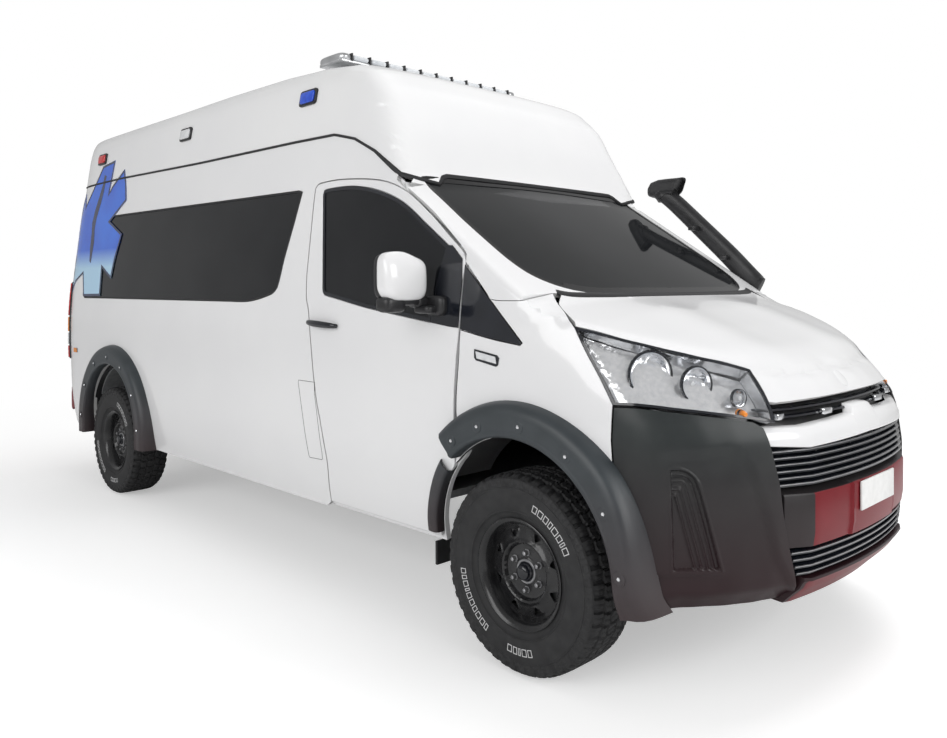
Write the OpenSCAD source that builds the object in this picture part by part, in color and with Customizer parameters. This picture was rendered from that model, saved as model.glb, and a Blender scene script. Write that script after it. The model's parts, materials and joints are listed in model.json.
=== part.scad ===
/* [Overall size] */
// Distance between the axles
wheelbase = 3860; // [3200:10:4700]
// Front bumper to front axle
front_overhang = 920; // [880:5:1110]
// Rear axle to rear bumper
rear_overhang = 1135; // [940:5:1400]
// Width of the steel body at the belt line
body_w = 1950; // [1620:10:2350]
// Height of the rubber seam between the steel body and the moulded roof
seam_z = 2205; // [2120:5:2650]
// Height of the moulded roof above its seam
roof_h = 430; // [350:5:520]

/* [Body panels] */
// Underside of the body sills
sill_z = 375; // [340:5:450]
// Top of the load floor
floor_z = 700; // [660:5:760]
// Top of the cab floor
cab_floor_z = 600; // [560:5:640]
// Lower edge of the side windows
belt_z = 1375; // [1250:5:1500]
// Thickness of side walls, doors and tailgate
wall = 50; // [36:1:62]
// Thickness of the moulded roof shell
roof_wall = 30; // [20:1:40]
// Thickness of the bonnet and bumper shells
skin = 28; // [20:1:36]
// Glass thickness
glass_t = 6; // [4:0.5:8]
// Length of a front door
door_l = 1095; // [920:5:1320]
// Gap round every opening panel
shut_gap = 8; // [7:0.5:12]

/* [Wheels] */
// Tyre outside diameter
tyre_d = 750; // [625:5:900]
// Tyre width
tyre_w = 245; // [205:5:295]
// Rim diameter under the tyre bead
rim_d = 406; // [340:2:488]
// How far the tyre stands out past the steel body
wheel_out = 18; // [0:1:40]
// Clearance from the tyre to the lip of its wheel arch
arch_clear = 85; // [80:5:105]
// How far the wheel arch flares stand out
flare_out = 60; // [50:1:75]

/* [Warning lights] */
// Length of the roof light bar across the vehicle
bar_l = 1350; // [1120:10:1620]
// Height of the light bar housing
bar_h = 52; // [42:1:64]

/* [Hidden] */

$fn = 64;
overall_l = wheelbase + front_overhang + rear_overhang;
nose_x = overall_l / 2;
tail_x = -overall_l / 2;
fx = nose_x - front_overhang;
rx = fx - wheelbase;
half_w = body_w / 2;
roof_z = seam_z + roof_h;
tyre_r = tyre_d / 2;
arch_r = tyre_r + arch_clear;
wheel_y = half_w + wheel_out - tyre_w / 2;
seat = 0.3;
big = 9000;

// Rear face of the tailgate, ahead of the step bumper.
gate_x = tail_x + 105;
// Front door: front shut line, rear shut line, and the hinge line.
door_front = fx - 345;
door_rear = door_front - door_l;
hinge_x = door_front - 60;
hinge_y = half_w - 18;
// Height of the arch circle's centre and of the arch lip.
arch_z = tyre_r + 50;
window_top = seam_z - 285;
cowl_z = belt_z + 25;
// Bonnet edge, upper bar and grille openings on the nose.
bonnet_edge = 1072;
brow_z = 1026;
lamp_in = half_w - 380;
kingpin_y = wheel_y - 85;
kingpin_r = 16;

// Half-section across the body: [height, distance in from the belt line half width].
SIDE = [
    [sill_z, 45], [sill_z + 105, 25], [700, 7], [1000, 0], [1240, 2], [belt_z + 25, 13],
    [window_top - 20, 67], [seam_z - 15, 103], [seam_z + 30, 104], [seam_z + 0.5 * roof_h, 135],
    [seam_z + 0.75 * roof_h, 162], [seam_z + 0.88 * roof_h, 205], [seam_z + 0.95 * roof_h, 275],
    [seam_z + 0.99 * roof_h, 460], [roof_z, 0.7 * half_w]
];
SECTION = concat(
    [for (p = SIDE) [half_w - p[1], p[0]]],
    [for (i = [len(SIDE) - 1:-1:0]) [p_in(i), SIDE[i][0]]]
);
function p_in(i) = -(half_w - SIDE[i][1]);

// Plan outline of one side of the nose: [distance back from the bumper, distance from centre].
NOSE = [
    [0, 0.12], [12, 0.25], [48, 0.47], [100, 0.615], [155, 0.72], [225, 0.82],
    [300, 0.9], [370, 0.952], [460, 0.983], [560, 0.995], [660, 1]
];
TAIL = [[0, 0.8], [14, 0.9], [45, 0.955], [100, 0.99], [170, 1]];
PLAN = concat(
    [for (p = NOSE) [nose_x - p[0], -p[1] * half_w]],
    [for (i = [len(TAIL) - 1:-1:0]) [gate_x + TAIL[i][0], -TAIL[i][1] * half_w]],
    [for (p = TAIL) [gate_x + p[0], p[1] * half_w]],
    [for (i = [len(NOSE) - 1:-1:0]) [nose_x - NOSE[i][0], NOSE[i][1] * half_w]]
);

// Windscreen line in side view.
ws_low = [fx + 92, cowl_z + 10];
ws_top = [fx - 748, window_top + 37];
// Side profile of the whole body, clockwise from the low rear corner.
PROFILE = [
    [gate_x + 20, sill_z], [gate_x, sill_z + 250], [gate_x, 1150], [gate_x + 25, 1700],
    [gate_x + 62, seam_z], [gate_x + 90, seam_z + 0.55 * roof_h],
    [gate_x + 125, seam_z + 0.85 * roof_h], [gate_x + 200, roof_z - 12], [gate_x + 420, roof_z],
    [fx - 1900, roof_z - 12], [fx - 1500, roof_z - 32], [fx - 1200, roof_z - 70],
    [fx - 1040, roof_z - 130], [fx - 940, seam_z + 0.45 * roof_h], [fx - 850, seam_z],
    [ws_top[0], ws_top[1]], [ws_low[0], ws_low[1]], [fx + 270, cowl_z - 48],
    [fx + 460, cowl_z - 118], [fx + 640, cowl_z - 190], [nose_x - 165, bonnet_edge + 70],
    [nose_x - 105, bonnet_edge + 5], [nose_x - 62, brow_z - 8], [nose_x - 22, 930],
    [nose_x, 780], [nose_x, 600], [nose_x - 8, 480], [nose_x - 22, sill_z + 36],
    [nose_x - 70, sill_z]
];

// Unit normal to the left of the edge from a to b.
function left_of(a, b) = let (d = b - a, n = norm(d)) [-d[1] / n, d[0] / n];
// Moves every edge of a polygon by d to its right for d > 0.
function inset(p, d) = [
    for (i = [0:len(p) - 1])
        let (
            n1 = left_of(p[(i + len(p) - 1) % len(p)], p[i]),
            n2 = left_of(p[i], p[(i + 1) % len(p)])
        )
        p[i] - d * (n1 + n2) / (1 + n1 * n2)
];
function circle_points(cx, cz, r, a0, a1, n) =
    [for (i = [0:n]) let (a = a0 + (a1 - a0) * i / n) [cx + r * cos(a), cz + r * sin(a)]];
function flip(p) = [for (q = p) [q[0], -q[1]]];

// Prisms through the whole vehicle: an x-z outline along Y, y-z along X, x-y along Z.
module through_y(p) { rotate([90, 0, 0]) linear_extrude(big, center = true) polygon(p); }
module through_x(p) { rotate([90, 0, 90]) linear_extrude(big, center = true) polygon(p); }
module through_z(p) { linear_extrude(big, center = true) polygon(p); }
module block(a, b) { translate(a) cube(b - a); }
module both_sides() { children(); mirror([0, 1, 0]) children(); }
module rod(a, b, r, sides = $fn) {
    d = b - a;
    translate(a) rotate([0, acos(d[2] / norm(d)), atan2(d[1], d[0])]) cylinder(h = norm(d), r = r, $fn = sides);
}

// Outer form of the body, moved in by t.
module envelope(t) {
    intersection() {
        through_y(inset(PROFILE, t));
        through_x(inset(SECTION, -t));
        through_z(inset(PLAN, t));
    }
}
// The layer of the body between depths a and b.
module layer(a, b) { difference() { envelope(a); envelope(b); } }

// ---- outlines in side view ----
SEAM_FRONT = [
    [fx - 3600, seam_z + 38], [fx - 1650, seam_z], [fx - 1300, seam_z - 8],
    [fx - 1130, seam_z - 50], [fx - 963, seam_z - 129], [fx - 817, seam_z - 224], [fx - 716, window_top + 3]
];
function arch_line(x, r, a0, a1) = circle_points(x, arch_z, r, a0, a1, 16);
DOOR = concat(
    [
        [door_rear + 180, sill_z + 33], [door_rear + 182, sill_z + 160], [door_rear + 138, 800],
        [door_rear + 102, 937], [door_rear + 48, belt_z - 87], [door_rear + 12, belt_z + 25],
        [door_rear, belt_z + 130], [door_rear + 11, window_top], [door_rear + 30, window_top + 35],
        [door_rear + 67, window_top + 47], [door_rear + 259, window_top + 47],
        [door_rear + 0.49 * door_l, window_top + 15], [door_rear + 0.66 * door_l, window_top - 47],
        [door_rear + 0.82 * door_l, window_top - 161], [door_rear + 0.945 * door_l, window_top - 264],
        [door_front + 29, belt_z + 212], [door_front + 45, belt_z + 175], [door_front + 28, belt_z - 100],
        [door_front + 13, 1154], [door_front, 973]
    ],
    arch_line(fx, arch_r, 138.5, 180),
    [[fx - arch_r, sill_z + 33]]
);
DOOR_GLASS = [
    [door_rear + 149, belt_z + 70], [door_rear + 155, belt_z + 50], [door_rear + 212, belt_z + 36],
    [door_rear + 0.482 * door_l, belt_z - 21], [door_front - 150, belt_z - 72],
    [door_front - 62, belt_z + 238], [door_rear + 0.82 * door_l - 13, window_top - 216],
    [door_rear + 0.66 * door_l - 10, window_top - 101], [door_rear + 0.49 * door_l - 10, window_top - 36],
    [door_rear + 263, window_top + 7], [door_rear + 98, window_top + 7], [door_rear + 87, window_top - 5]
];
rear_win_front = door_rear - 100;
REAR_GLASS = [
    [rear_win_front, window_top + 15], [rear_win_front - 50, window_top - 136],
    [rear_win_front - 117, belt_z + 226], [rear_win_front - 154, belt_z + 97],
    [rear_win_front - 252, belt_z + 29], [rear_win_front - 447, belt_z - 4],
    [gate_x + 390, belt_z + 2], [gate_x + 400, window_top + 57]
];
SLIDE_DOOR = [
    [rear_win_front + 55, sill_z + 60], [rear_win_front + 55, window_top + 70],
    [rear_win_front - 1080, window_top + 82], [rear_win_front - 1080, sill_z + 60]
];
// Where fender, lamp and bumper meet, ahead of the wheel arch.
lamp_rear = fx + arch_r - 30;
// Fender, with the sail panel's front half above its rear end.
FENDER = concat(
    [
        [door_front + 54, belt_z + 172], [door_front + 37, belt_z - 100], [door_front + 22, 1154],
        [door_front + 9, 973]
    ],
    arch_line(fx, arch_r, 137.3, 0),
    [
        [fx + arch_r, 560], [fx + arch_r + 2, 560], [lamp_rear, 830], [lamp_rear, 1058], [fx + 271, belt_z - 77],
        [fx + 60, belt_z - 30], [fx - 120, cowl_z]
    ]
);
// Lamp outline: outer top, outer low, inner low, inner top.
LAMP = [[fx + 271, belt_z - 77], [lamp_rear, 1058], [nose_x - 98, 985], [nose_x - 190, 1155]];

module arch_cut(x, r) {
    both_sides() {
        translate([x, half_w + 200, arch_z]) rotate([90, 0, 0]) cylinder(h = 0.5 * body_w - 320, r = r);
        block([x - r, 520, 0], [x + r, half_w + 200, arch_z]);
    }
}

// ---- steel body ----
// Height of the windscreen line at x, lowered by d square to the glass.
ws_slope = (ws_top[1] - ws_low[1]) / (ws_low[0] - ws_top[0]);
function ws_line(x, d) = ws_low[1] + (ws_low[0] - x) * ws_slope - d * norm([1, ws_slope]);
// Outline of the side above the fender and behind the front door's hinge line.
SIDE_OUT = concat(
    [[-big, sill_z - 1], [-big, seam_z + 38]],
    SEAM_FRONT,
    [
        [fx - 708, ws_line(fx - 708, glass_t + 4.3)], [fx + 50, ws_line(fx + 50, glass_t + 4.3)],
        [fx + 50, cowl_z - 52], [fx - 120, cowl_z + 0.4], [door_front + 53, belt_z + 172.4],
        [door_front - 20, belt_z + 180], [door_front - 20, sill_z - 1]
    ]
);
pillar_w = 150;
module side_band() {
    union() {
        block([-big, -big, 0], [fx - 760, -half_w + 230, big]);
        block([fx - 761, -big, 0], [big, -half_w + pillar_w, big]);
        block([-big, -big, 0], [gate_x + 130, -0.2, big]);
    }
}
module body_side() {
    difference() {
        union() {
            intersection() {
                layer(0, wall);
                through_y(SIDE_OUT);
                side_band();
            }
            // Hinge post behind the fender skin.
            intersection() {
                layer(14.4, wall);
                block([door_front - 10, -big, 650], [door_front + 55, -half_w + 230, belt_z + 165]);
            }
        }
        through_y(inset(DOOR, -shut_gap));
        through_y(REAR_GLASS);
        arch_cut(rx, arch_r);
        arch_cut(fx, arch_r + 12);
        gate_opening(shut_gap);
        tail_lamp_block(0.4);
    }
    door_pins();
    gate_pins();
}
module gate_opening(g) {
    block([gate_x - 50, -gate_half - g, gate_low - g], [gate_x + 200, gate_half + g, gate_top + g]);
}
// Inner face of the rear wheel housings.
tunnel_y = wheel_y - tyre_w / 2 - 73;
gate_half = half_w - 150;
gate_low = floor_z - 10;
gate_top = seam_z - 10;
gate_hinge_x = gate_x + 72;
gate_hinge_z = gate_top - 22;
gate_hinge_y = half_w - 475;
// Front door hinges: a pin on a strap that reaches round the door's front edge from inside.
hinge_zs = [870, 1130];
pin_r = 6;
eye_r = 11;
module door_pins() {
    for (z = hinge_zs) {
        translate([hinge_x, -hinge_y, z - 14]) cylinder(h = 84, r = pin_r);
        block([hinge_x - 10, -hinge_y, z - 14], [hinge_x, -hinge_y + 80, z]);
        block([hinge_x - 10, -hinge_y + 68, z - 14], [door_front + 50, -hinge_y + 80, z]);
        block([door_front + 18, -hinge_y + 10, z - 14], [door_front + 50, -hinge_y + 80, z]);
    }
}
// Tailgate hinges: a pin between two cheeks that hang from the rear header.
module gate_pins() {
    translate([gate_hinge_x, -gate_hinge_y + 30, gate_hinge_z]) rotate([90, 0, 0]) cylinder(h = 60, r = 5);
    for (y = [20, -30])
        block([gate_hinge_x - 6, -gate_hinge_y + y, gate_hinge_z - 6],
              [gate_hinge_x + 12, -gate_hinge_y + y + 10, gate_top + shut_gap + 4]);
}
module body_side_right() { color("white") body_side(); }
module body_side_left() {
    color("white") difference() {
        mirror([0, 1, 0]) body_side();
        intersection() {
            through_y(inset(SLIDE_DOOR, shut_gap));
            block([-big, 0, 0], [big, big, big]);
        }
    }
}
module sliding_door() {
    color("white") difference() {
        intersection() {
            layer(0, wall);
            through_y(inset(SLIDE_DOOR, shut_gap - 0.5));
            block([-big, half_w - 260, 0], [big, big, big]);
        }
        through_y(REAR_GLASS);
    }
}
module side_windows() {
    color("black") both_sides() intersection() {
        layer(8, 8 + glass_t);
        through_y(inset(REAR_GLASS, seat));
        block([-big, -big, 0], [big, -half_w + 260, big]);
    }
}
// Joint between the roof's front lip and the glass, square to the glass.
LIP = [fx - 711, window_top + 2];
module high_roof() {
    color("white") intersection() {
        layer(0, roof_wall);
        through_y(concat(
            [[-big, seam_z + 38.4]],
            [for (p = SEAM_FRONT) [p[0] + 0.2, p[1] + 0.4]],
            [LIP, LIP + [480, 1200], [-big, big]]
        ));
    }
}
module windscreen() {
    color("black") intersection() {
        layer(4, 4 + glass_t);
        through_y([
            LIP + [seat, 0], LIP + [480 + seat, 1200], [ws_low[0] + 60, cowl_z + 60],
            [ws_low[0] - 30, cowl_z - 30]
        ]);
        block([0, -half_w + 100, 0], [big, half_w - 100, big]);
    }
}
bonnet_rear = fx + 150;
bonnet_hinge_x = bonnet_rear + 15;
bonnet_hinge_z = cowl_z - 28;
bonnet_hinge_y = half_w - 375;
module cab_front() {
    color("white") {
        difference() {
            intersection() {
                envelope(4.3 + glass_t);
                block([fx - 160, -half_w + pillar_w + 0.4, cowl_z - 190], [bonnet_rear - 20, half_w - pillar_w - 0.4, big]);
            }
            intersection() {
                envelope(40);
                block([fx - 60, -half_w + pillar_w + 40, cowl_z - 200], [bonnet_rear - 50, half_w - pillar_w - 40, big]);
            }
        }
        block([fx - 110, -half_w + 330, cab_floor_z - 30], [fx - 85, half_w - 330, cowl_z - 189]);
        both_sides() {
            translate([bonnet_hinge_x, -bonnet_hinge_y + 30, bonnet_hinge_z]) rotate([90, 0, 0])
                cylinder(h = 60, r = 5);
            for (y = [20, -30]) block([bonnet_rear - 40, -bonnet_hinge_y + y, cowl_z - 100],
                [bonnet_hinge_x + 6, -bonnet_hinge_y + y + 10, bonnet_hinge_z + 6]);
        }
    }
}
frame_top = cab_floor_z - 35;
frame_low = frame_top - 110;
rail_out = half_w - 525;
rail_in = rail_out - 70;
module floor() {
    color("dimgray") intersection() {
        envelope(wall + seat);
        difference() {
            union() {
                block([gate_x + wall + 10, -big, floor_z - 40], [door_rear, big, floor_z]);
                block([door_rear - 1, -big, frame_top + seat], [fx - 112, big, cab_floor_z]);
                block([door_rear - 30, -big, frame_top + seat], [door_rear, big, floor_z]);
                for (x = [gate_x + 250, rx + 520, door_rear - 900])
                    block([x, -big, frame_top + seat], [x + 80, big, floor_z - 39]);
                difference() {
                    both_sides() translate([rx, half_w, arch_z]) rotate([90, 0, 0])
                        cylinder(h = half_w - tunnel_y + 25, r = arch_r + 25);
                    block([-big, -big, -big], [big, big, floor_z - 1]);
                }
            }
            both_sides() {
                translate([rx, half_w, arch_z]) rotate([90, 0, 0]) cylinder(h = half_w - tunnel_y, r = arch_r + 5);
                block([rx - arch_r - 5, tunnel_y, 0], [rx + arch_r + 5, half_w, arch_z]);
            }
            arch_cut(fx, arch_r + 5);
            for (x = [rx - 300, rx + 500], y = [-200, 200])
                translate([x, y, floor_z - 60]) cylinder(h = 100, r = 5.5);
        }
    }
}
module partition() {
    color("lightgray") intersection() {
        envelope(wall + seat);
        difference() {
            block([door_rear + 20, -big, cab_floor_z + seat], [door_rear + 45, big, seam_z - 60]);
            block([door_rear, -300, belt_z], [door_rear + 60, 300, belt_z + 400]);
        }
    }
}
beam_x = nose_x - 190;
module chassis_frame() {
    color("black") {
        both_sides() block([gate_x + wall + 15, rail_in, frame_low], [beam_x + 1, rail_out, frame_top]);
        for (x = [gate_x + wall + 15, rx + 620, 0, fx - 700])
            block([x, -rail_in - 1, frame_low + 20], [x + 90, rail_in + 1, frame_top - 20]);
        block([beam_x, -lamp_in + 5, frame_low + 20], [beam_x + 60, lamp_in - 5, frame_top]);
    }
}
module front_fenders() {
    color("white") both_sides() difference() {
        intersection() {
            layer(0, 14);
            through_y(inset(FENDER, -0.4));
            block([-big, -big, 0], [big, -half_w + 330, big]);
        }
    }
}
module headlights() {
    color("lightblue") both_sides() intersection() {
        layer(0, 90);
        through_y(inset(LAMP, -0.5));
        block([-big, -big, 0], [big, -lamp_in, big]);
    }
}
module bonnet() {
    color("white") {
        difference() {
            intersection() {
                layer(0, skin);
                union() {
                    through_y([
                        [bonnet_rear, big], [bonnet_rear, belt_z - 50 + shut_gap],
                        [fx + 271, belt_z - 77 + shut_gap], [nose_x - 190, 1155 + shut_gap],
                        [nose_x, 1155 + shut_gap], [nose_x, big]
                    ]);
                    block([nose_x - 260, -lamp_in + shut_gap, bonnet_edge], [nose_x, lamp_in - shut_gap, 1200]);
                }
            }
            both_sides() block([bonnet_rear - 1, -bonnet_hinge_y - 37, 0],
                [bonnet_hinge_x + 22, -bonnet_hinge_y + 37, big]);
        }
        both_sides() difference() {
            union() {
                translate([bonnet_hinge_x, -bonnet_hinge_y + 14, bonnet_hinge_z]) rotate([90, 0, 0])
                    cylinder(h = 28, r = 11);
                block([bonnet_hinge_x, -bonnet_hinge_y - 14, bonnet_hinge_z - 11],
                      [bonnet_hinge_x + 40, -bonnet_hinge_y + 14, bonnet_hinge_z]);
            }
            translate([bonnet_hinge_x, -bonnet_hinge_y + 40, bonnet_hinge_z]) rotate([90, 0, 0])
                cylinder(h = 80, r = 5.3);
        }
    }
}
// Half widths of the middle and lower openings in the front bumper.
mid_open = half_w - 475;
low_open = half_w - 435;
module front_bumper() {
    color("dimgray") difference() {
        intersection() {
            layer(0, skin);
            union() {
                through_y([
                    [lamp_rear + 1, 1057], [lamp_rear + 1, 830], [fx + arch_r + 3, 560], [fx + arch_r + 2, 0], [big, 0],
                    [big, 984.5], [nose_x - 98, 984.5]
                ]);
                block([nose_x - 200, -lamp_in + 1, 800], [nose_x + 10, lamp_in - 1, brow_z]);
            }
            block([0, -big, 0], [big, big, big]);
        }
        block([nose_x - 300, -mid_open, 745], [nose_x + 50, mid_open, 900]);
        block([nose_x - 300, -low_open, 440], [nose_x + 50, low_open, 600]);
        for (y = [-105, 105]) translate([nose_x - 60, y, 675]) rotate([0, 90, 0]) cylinder(h = 200, r = 4);
    }
    color("dimgray") both_sides() {
        block([nose_x - 60, rail_in, 610], [nose_x - 20, rail_out, 690]);
        block([beam_x + 59, rail_in, 610], [nose_x - 59, rail_out, 690]);
        block([beam_x, rail_in, frame_top + seat], [beam_x + 60, rail_out, 690]);
    }
}
module grille() {
    back = nose_x - 118;
    color("black") {
        intersection() {
            layer(10, 24);
            union() {
                for (i = [0:4]) block([0, -mid_open + seat, 752 + 32 * i], [big, mid_open - seat, 766 + 32 * i]);
                for (i = [0:3]) block([0, -low_open + seat, 452 + 38 * i], [big, low_open - seat, 468 + 38 * i]);
                for (y = [-300, 0, 300]) block([0, y - 8, 745 + seat], [big, y + 8, 900 - seat]);
                for (y = [-300, 0, 300]) block([0, y - 8, 440 + seat], [big, y + 8, 600 - seat]);
            }
        }
        block([back, -mid_open + 30, 745], [back + 6, mid_open - 30, 890]);
        block([back, -mid_open + 30, 430], [back + 6, mid_open - 30, 560]);
        for (z = [752, 452]) block([back, -8, z], [nose_x - 15, 8, z + 14]);
    }
}
module tail_lamp_block(g) {
    block([gate_x - 20, -half_w - 1, 900 - g], [gate_x + 120 + g, -gate_half - shut_gap - 6 + g, 1500 + g]);
}
module tail_lights() {
    color("red") both_sides() intersection() {
        layer(0, 30);
        tail_lamp_block(0);
    }
}
module rear_bumper() {
    color("maroon") {
        block([tail_x, -half_w + 60, 480], [gate_x - seat, half_w - 60, floor_z - 40]);
    }
}
module tailgate() {
    color("white") {
        difference() {
            intersection() {
                layer(0, wall);
                block([gate_x - 50, -gate_half, gate_low], [gate_x + 190, gate_half, gate_top]);
            }
            block([gate_x - 60, -gate_half + 110, belt_z], [gate_x + 190, gate_half - 110, window_top]);
            both_sides() block([gate_x - 60, -gate_hinge_y - 37, gate_hinge_z - 24],
                [gate_x + 190, -gate_hinge_y + 37, gate_top + 1]);
            for (y = [-105, 105]) translate([gate_x - 60, y, 900]) rotate([0, 90, 0]) cylinder(h = 90, r = 4);
        }
        both_sides() difference() {
            union() {
                translate([gate_hinge_x, -gate_hinge_y + 14, gate_hinge_z]) rotate([90, 0, 0])
                    cylinder(h = 28, r = 9.5);
                block([gate_hinge_x - 9, -gate_hinge_y - 14, gate_hinge_z - 40],
                      [gate_hinge_x + 9, -gate_hinge_y + 14, gate_hinge_z]);
            }
            translate([gate_hinge_x, -gate_hinge_y + 40, gate_hinge_z]) rotate([90, 0, 0])
                cylinder(h = 80, r = 5.3);
        }
    }
}
module tailgate_glass() {
    color("black") intersection() {
        layer(8, 8 + glass_t);
        block([gate_x - 60, -gate_half + 110 + seat, belt_z + seat], [gate_x + 190, gate_half - 110 - seat, window_top - seat]);
    }
}
module flare_ring(x, y0, out, r, a0, a1) {
    intersection() {
        difference() {
            translate([x, -y0, arch_z]) rotate([90, 0, 0]) cylinder(h = out, r = r);
            translate([x, 0, arch_z]) rotate([90, 0, 0]) cylinder(h = big, r = arch_r);
        }
        through_y(concat([[x, arch_z]], circle_points(x, arch_z, 1200, a0, a1, 12)));
    }
}
module wheel_flares() {
    color("dimgray") both_sides() {
        difference() {
            flare_ring(fx, half_w - 60, 60 + flare_out, arch_r + 125, -3, 137);
            envelope(-0.3);
            block([-big, -big, 0], [door_front + shut_gap, big, big]);
        }
        difference() {
            flare_ring(rx, half_w - 60, 60 + flare_out, arch_r + 120, -3, 183);
            envelope(-0.3);
        }
    }
}
module mudflaps() {
    color("black") both_sides() {
        block([fx - arch_r - 62, -half_w + 55, 275], [fx - arch_r - 50, -half_w + 225, sill_z - seat]);
        block([rx - arch_r - 62, -half_w + 55, 290], [rx - arch_r - 50, -half_w + 225, sill_z - seat]);
    }
}
module snorkel() {
    knee = [fx - 560, half_w + 20, window_top + 20];
    head = [fx - 655, half_w + 20, window_top + 95];
    color("black") {
        difference() {
            union() {
                rod([fx - 10, half_w + 6, belt_z + 55], knee, 36, 8);
                block([fx - 60, half_w - 30, belt_z + 20], [fx + 20, half_w + 6, belt_z + 60]);
            }
            envelope(-seat);
        }
        rod(knee - [-12, 0, 14], head + [-10, 0, 12], 37, 8);
        rod(head + [-62, 0, -4], head + [185, 0, 10], 54, 8);
    }
}
module light_bar() {
    bx = fx - 1626;
    color("silver") {
        block([bx - 120, -bar_l / 2, roof_z + 8], [bx + 120, bar_l / 2, roof_z + 8 + bar_h]);
        both_sides() difference() {
            block([bx - 60, bar_l / 2 - 160, roof_z - 60], [bx + 60, bar_l / 2 - 100, roof_z + 9]);
            envelope(-seat);
        }
    }
}
module side_strobes() {
    color("blue") both_sides() for (x = [fx - 1560, fx - 2960, fx - 4360])
        intersection() {
            block([x - 85, -half_w + 20, seam_z + 0.42 * roof_h], [x + 85, -half_w + 160, seam_z + 0.6 * roof_h]);
            layer(-24, -seat);
        }
}
module dashboard() {
    color("dimgray") {
        block([fx - 420, -half_w + 130, 960], [fx - 160 - seat, half_w - 130, cowl_z - 120]);
        rod([fx - 405, -380, 1114.3], [fx - 574, -380, 1175.8], 22);
        translate([fx - 580, -380, 1178]) rotate([0, -70, 0]) rotate_extrude() translate([180, 0]) circle(r = 14);
        translate([fx - 580, -380, 1178]) rotate([0, -70, 0]) cylinder(h = 24, r = 60, center = true);
        for (a = [0, 120, 240]) translate([fx - 580, -380, 1178]) rotate([0, -70, 0]) rotate([0, 0, a])
            translate([90, 0, 0]) cube([180, 24, 14], center = true);
    }
}
module cab_seats() {
    color("darkslategray") both_sides() {
        block([door_rear + 100, 160, cab_floor_z + seat], [door_rear + 520, 640, cab_floor_z + 230]);
        block([door_rear + 90, 150, cab_floor_z + 230 + seat], [door_rear + 590, 650, cab_floor_z + 380]);
        block([door_rear + 90, 150, cab_floor_z + 379], [door_rear + 210, 650, cab_floor_z + 1020]);
        block([door_rear + 110, 260, cab_floor_z + 1020 + seat], [door_rear + 200, 540, cab_floor_z + 1200]);
    }
}
module attendant_bench() {
    color("slategray") {
        block([rx + arch_r + 60, -half_w + 130, floor_z + seat], [door_rear - 260, -half_w + 560, floor_z + 420]);
    }
}
module engine() {
    color("gray") block([fx - 60, -arm_root, frame_low + seat], [fx + 480, arm_root, cowl_z - 330]);
}
module exhaust() {
    pipe_y = rail_in - 130;
    z = frame_low + 20 - 32 - seat;
    color("gray") {
        rod([fx - 700, -pipe_y, z], [rx + 500, -pipe_y, z], 32);
        rod([rx + 1500, -pipe_y, z], [rx + 900, -pipe_y, z], 95);
    }
}
module fuel_tank() { color("black") block([rx + 1320, rail_out + seat, 400], [rx + 2520, half_w - 240, frame_top]); }
spindle_r = 28;
// Heights of the lower and upper suspension arms, and the lower arm's inner end.
low_arm = tyre_r - 150;
top_arm = frame_low + 70;
arm_root = rail_in - 80;
module front_suspension() {
    color("dimgray") {
        block([fx - 110, -rail_out - 10, low_arm + 145], [fx + 110, rail_out + 10, frame_low - seat]);
        both_sides() for (up = [0, 1]) {
            z = up == 1 ? top_arm : low_arm;
            inner = up == 1 ? rail_out + seat : arm_root;
            difference() {
                union() {
                    block([fx - 24, inner, z - 11], [fx + 24, kingpin_y, z + 11]);
                    translate([fx, kingpin_y, z - 13]) cylinder(h = 26, r = 32);
                }
                translate([fx, kingpin_y, z - 40]) cylinder(h = 80, r = kingpin_r + seat);
            }
        }
        both_sides() block([fx - 24, arm_root, low_arm - 11], [fx + 24, arm_root + 30, low_arm + 156]);
    }
}
module knuckle() {
    color("gray") {
        translate([fx, -kingpin_y, low_arm - 20]) cylinder(h = top_arm - low_arm + 40, r = kingpin_r);
        translate([fx, -kingpin_y, low_arm + 13.5]) cylinder(h = top_arm - low_arm - 27, r = 34);
        translate([fx, -kingpin_y + 20, tyre_r]) rotate([90, 0, 0])
            cylinder(h = wheel_y - 45 - 5 - kingpin_y + 20, r = 46);
        translate([fx, -kingpin_y + 10, tyre_r]) rotate([90, 0, 0])
            cylinder(h = wheel_y - kingpin_y + 62, r = spindle_r);
    }
}
module knuckle_right() { knuckle(); }
module knuckle_left() { mirror([0, 1, 0]) knuckle(); }
// Leaf springs: inner side and underside.
spring_y = rail_out + 20;
spring_z = tyre_r + 50;
module rear_axle() {
    color("dimgray") {
        translate([rx, 0, tyre_r]) rotate([90, 0, 0]) cylinder(h = 2 * wheel_y - 300, r = 55, center = true);
        translate([rx, 0, tyre_r]) rotate([90, 0, 0]) cylinder(h = 2 * wheel_y + 104, r = spindle_r, center = true);
        translate([rx, 0, tyre_r]) sphere(r = 160);
        both_sides() {
            block([rx - 620, spring_y, spring_z], [rx + 620, spring_y + 70, spring_z + 40]);
            block([rx - 620, rail_out + seat, spring_z + 15], [rx - 570, spring_y + 70, frame_top]);
            block([rx + 570, rail_out + seat, spring_z + 15], [rx + 620, spring_y + 70, frame_top]);
            block([rx - 60, spring_y - 10, tyre_r + 25], [rx + 60, spring_y + 80, spring_z + 5]);
        }
    }
}
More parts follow.
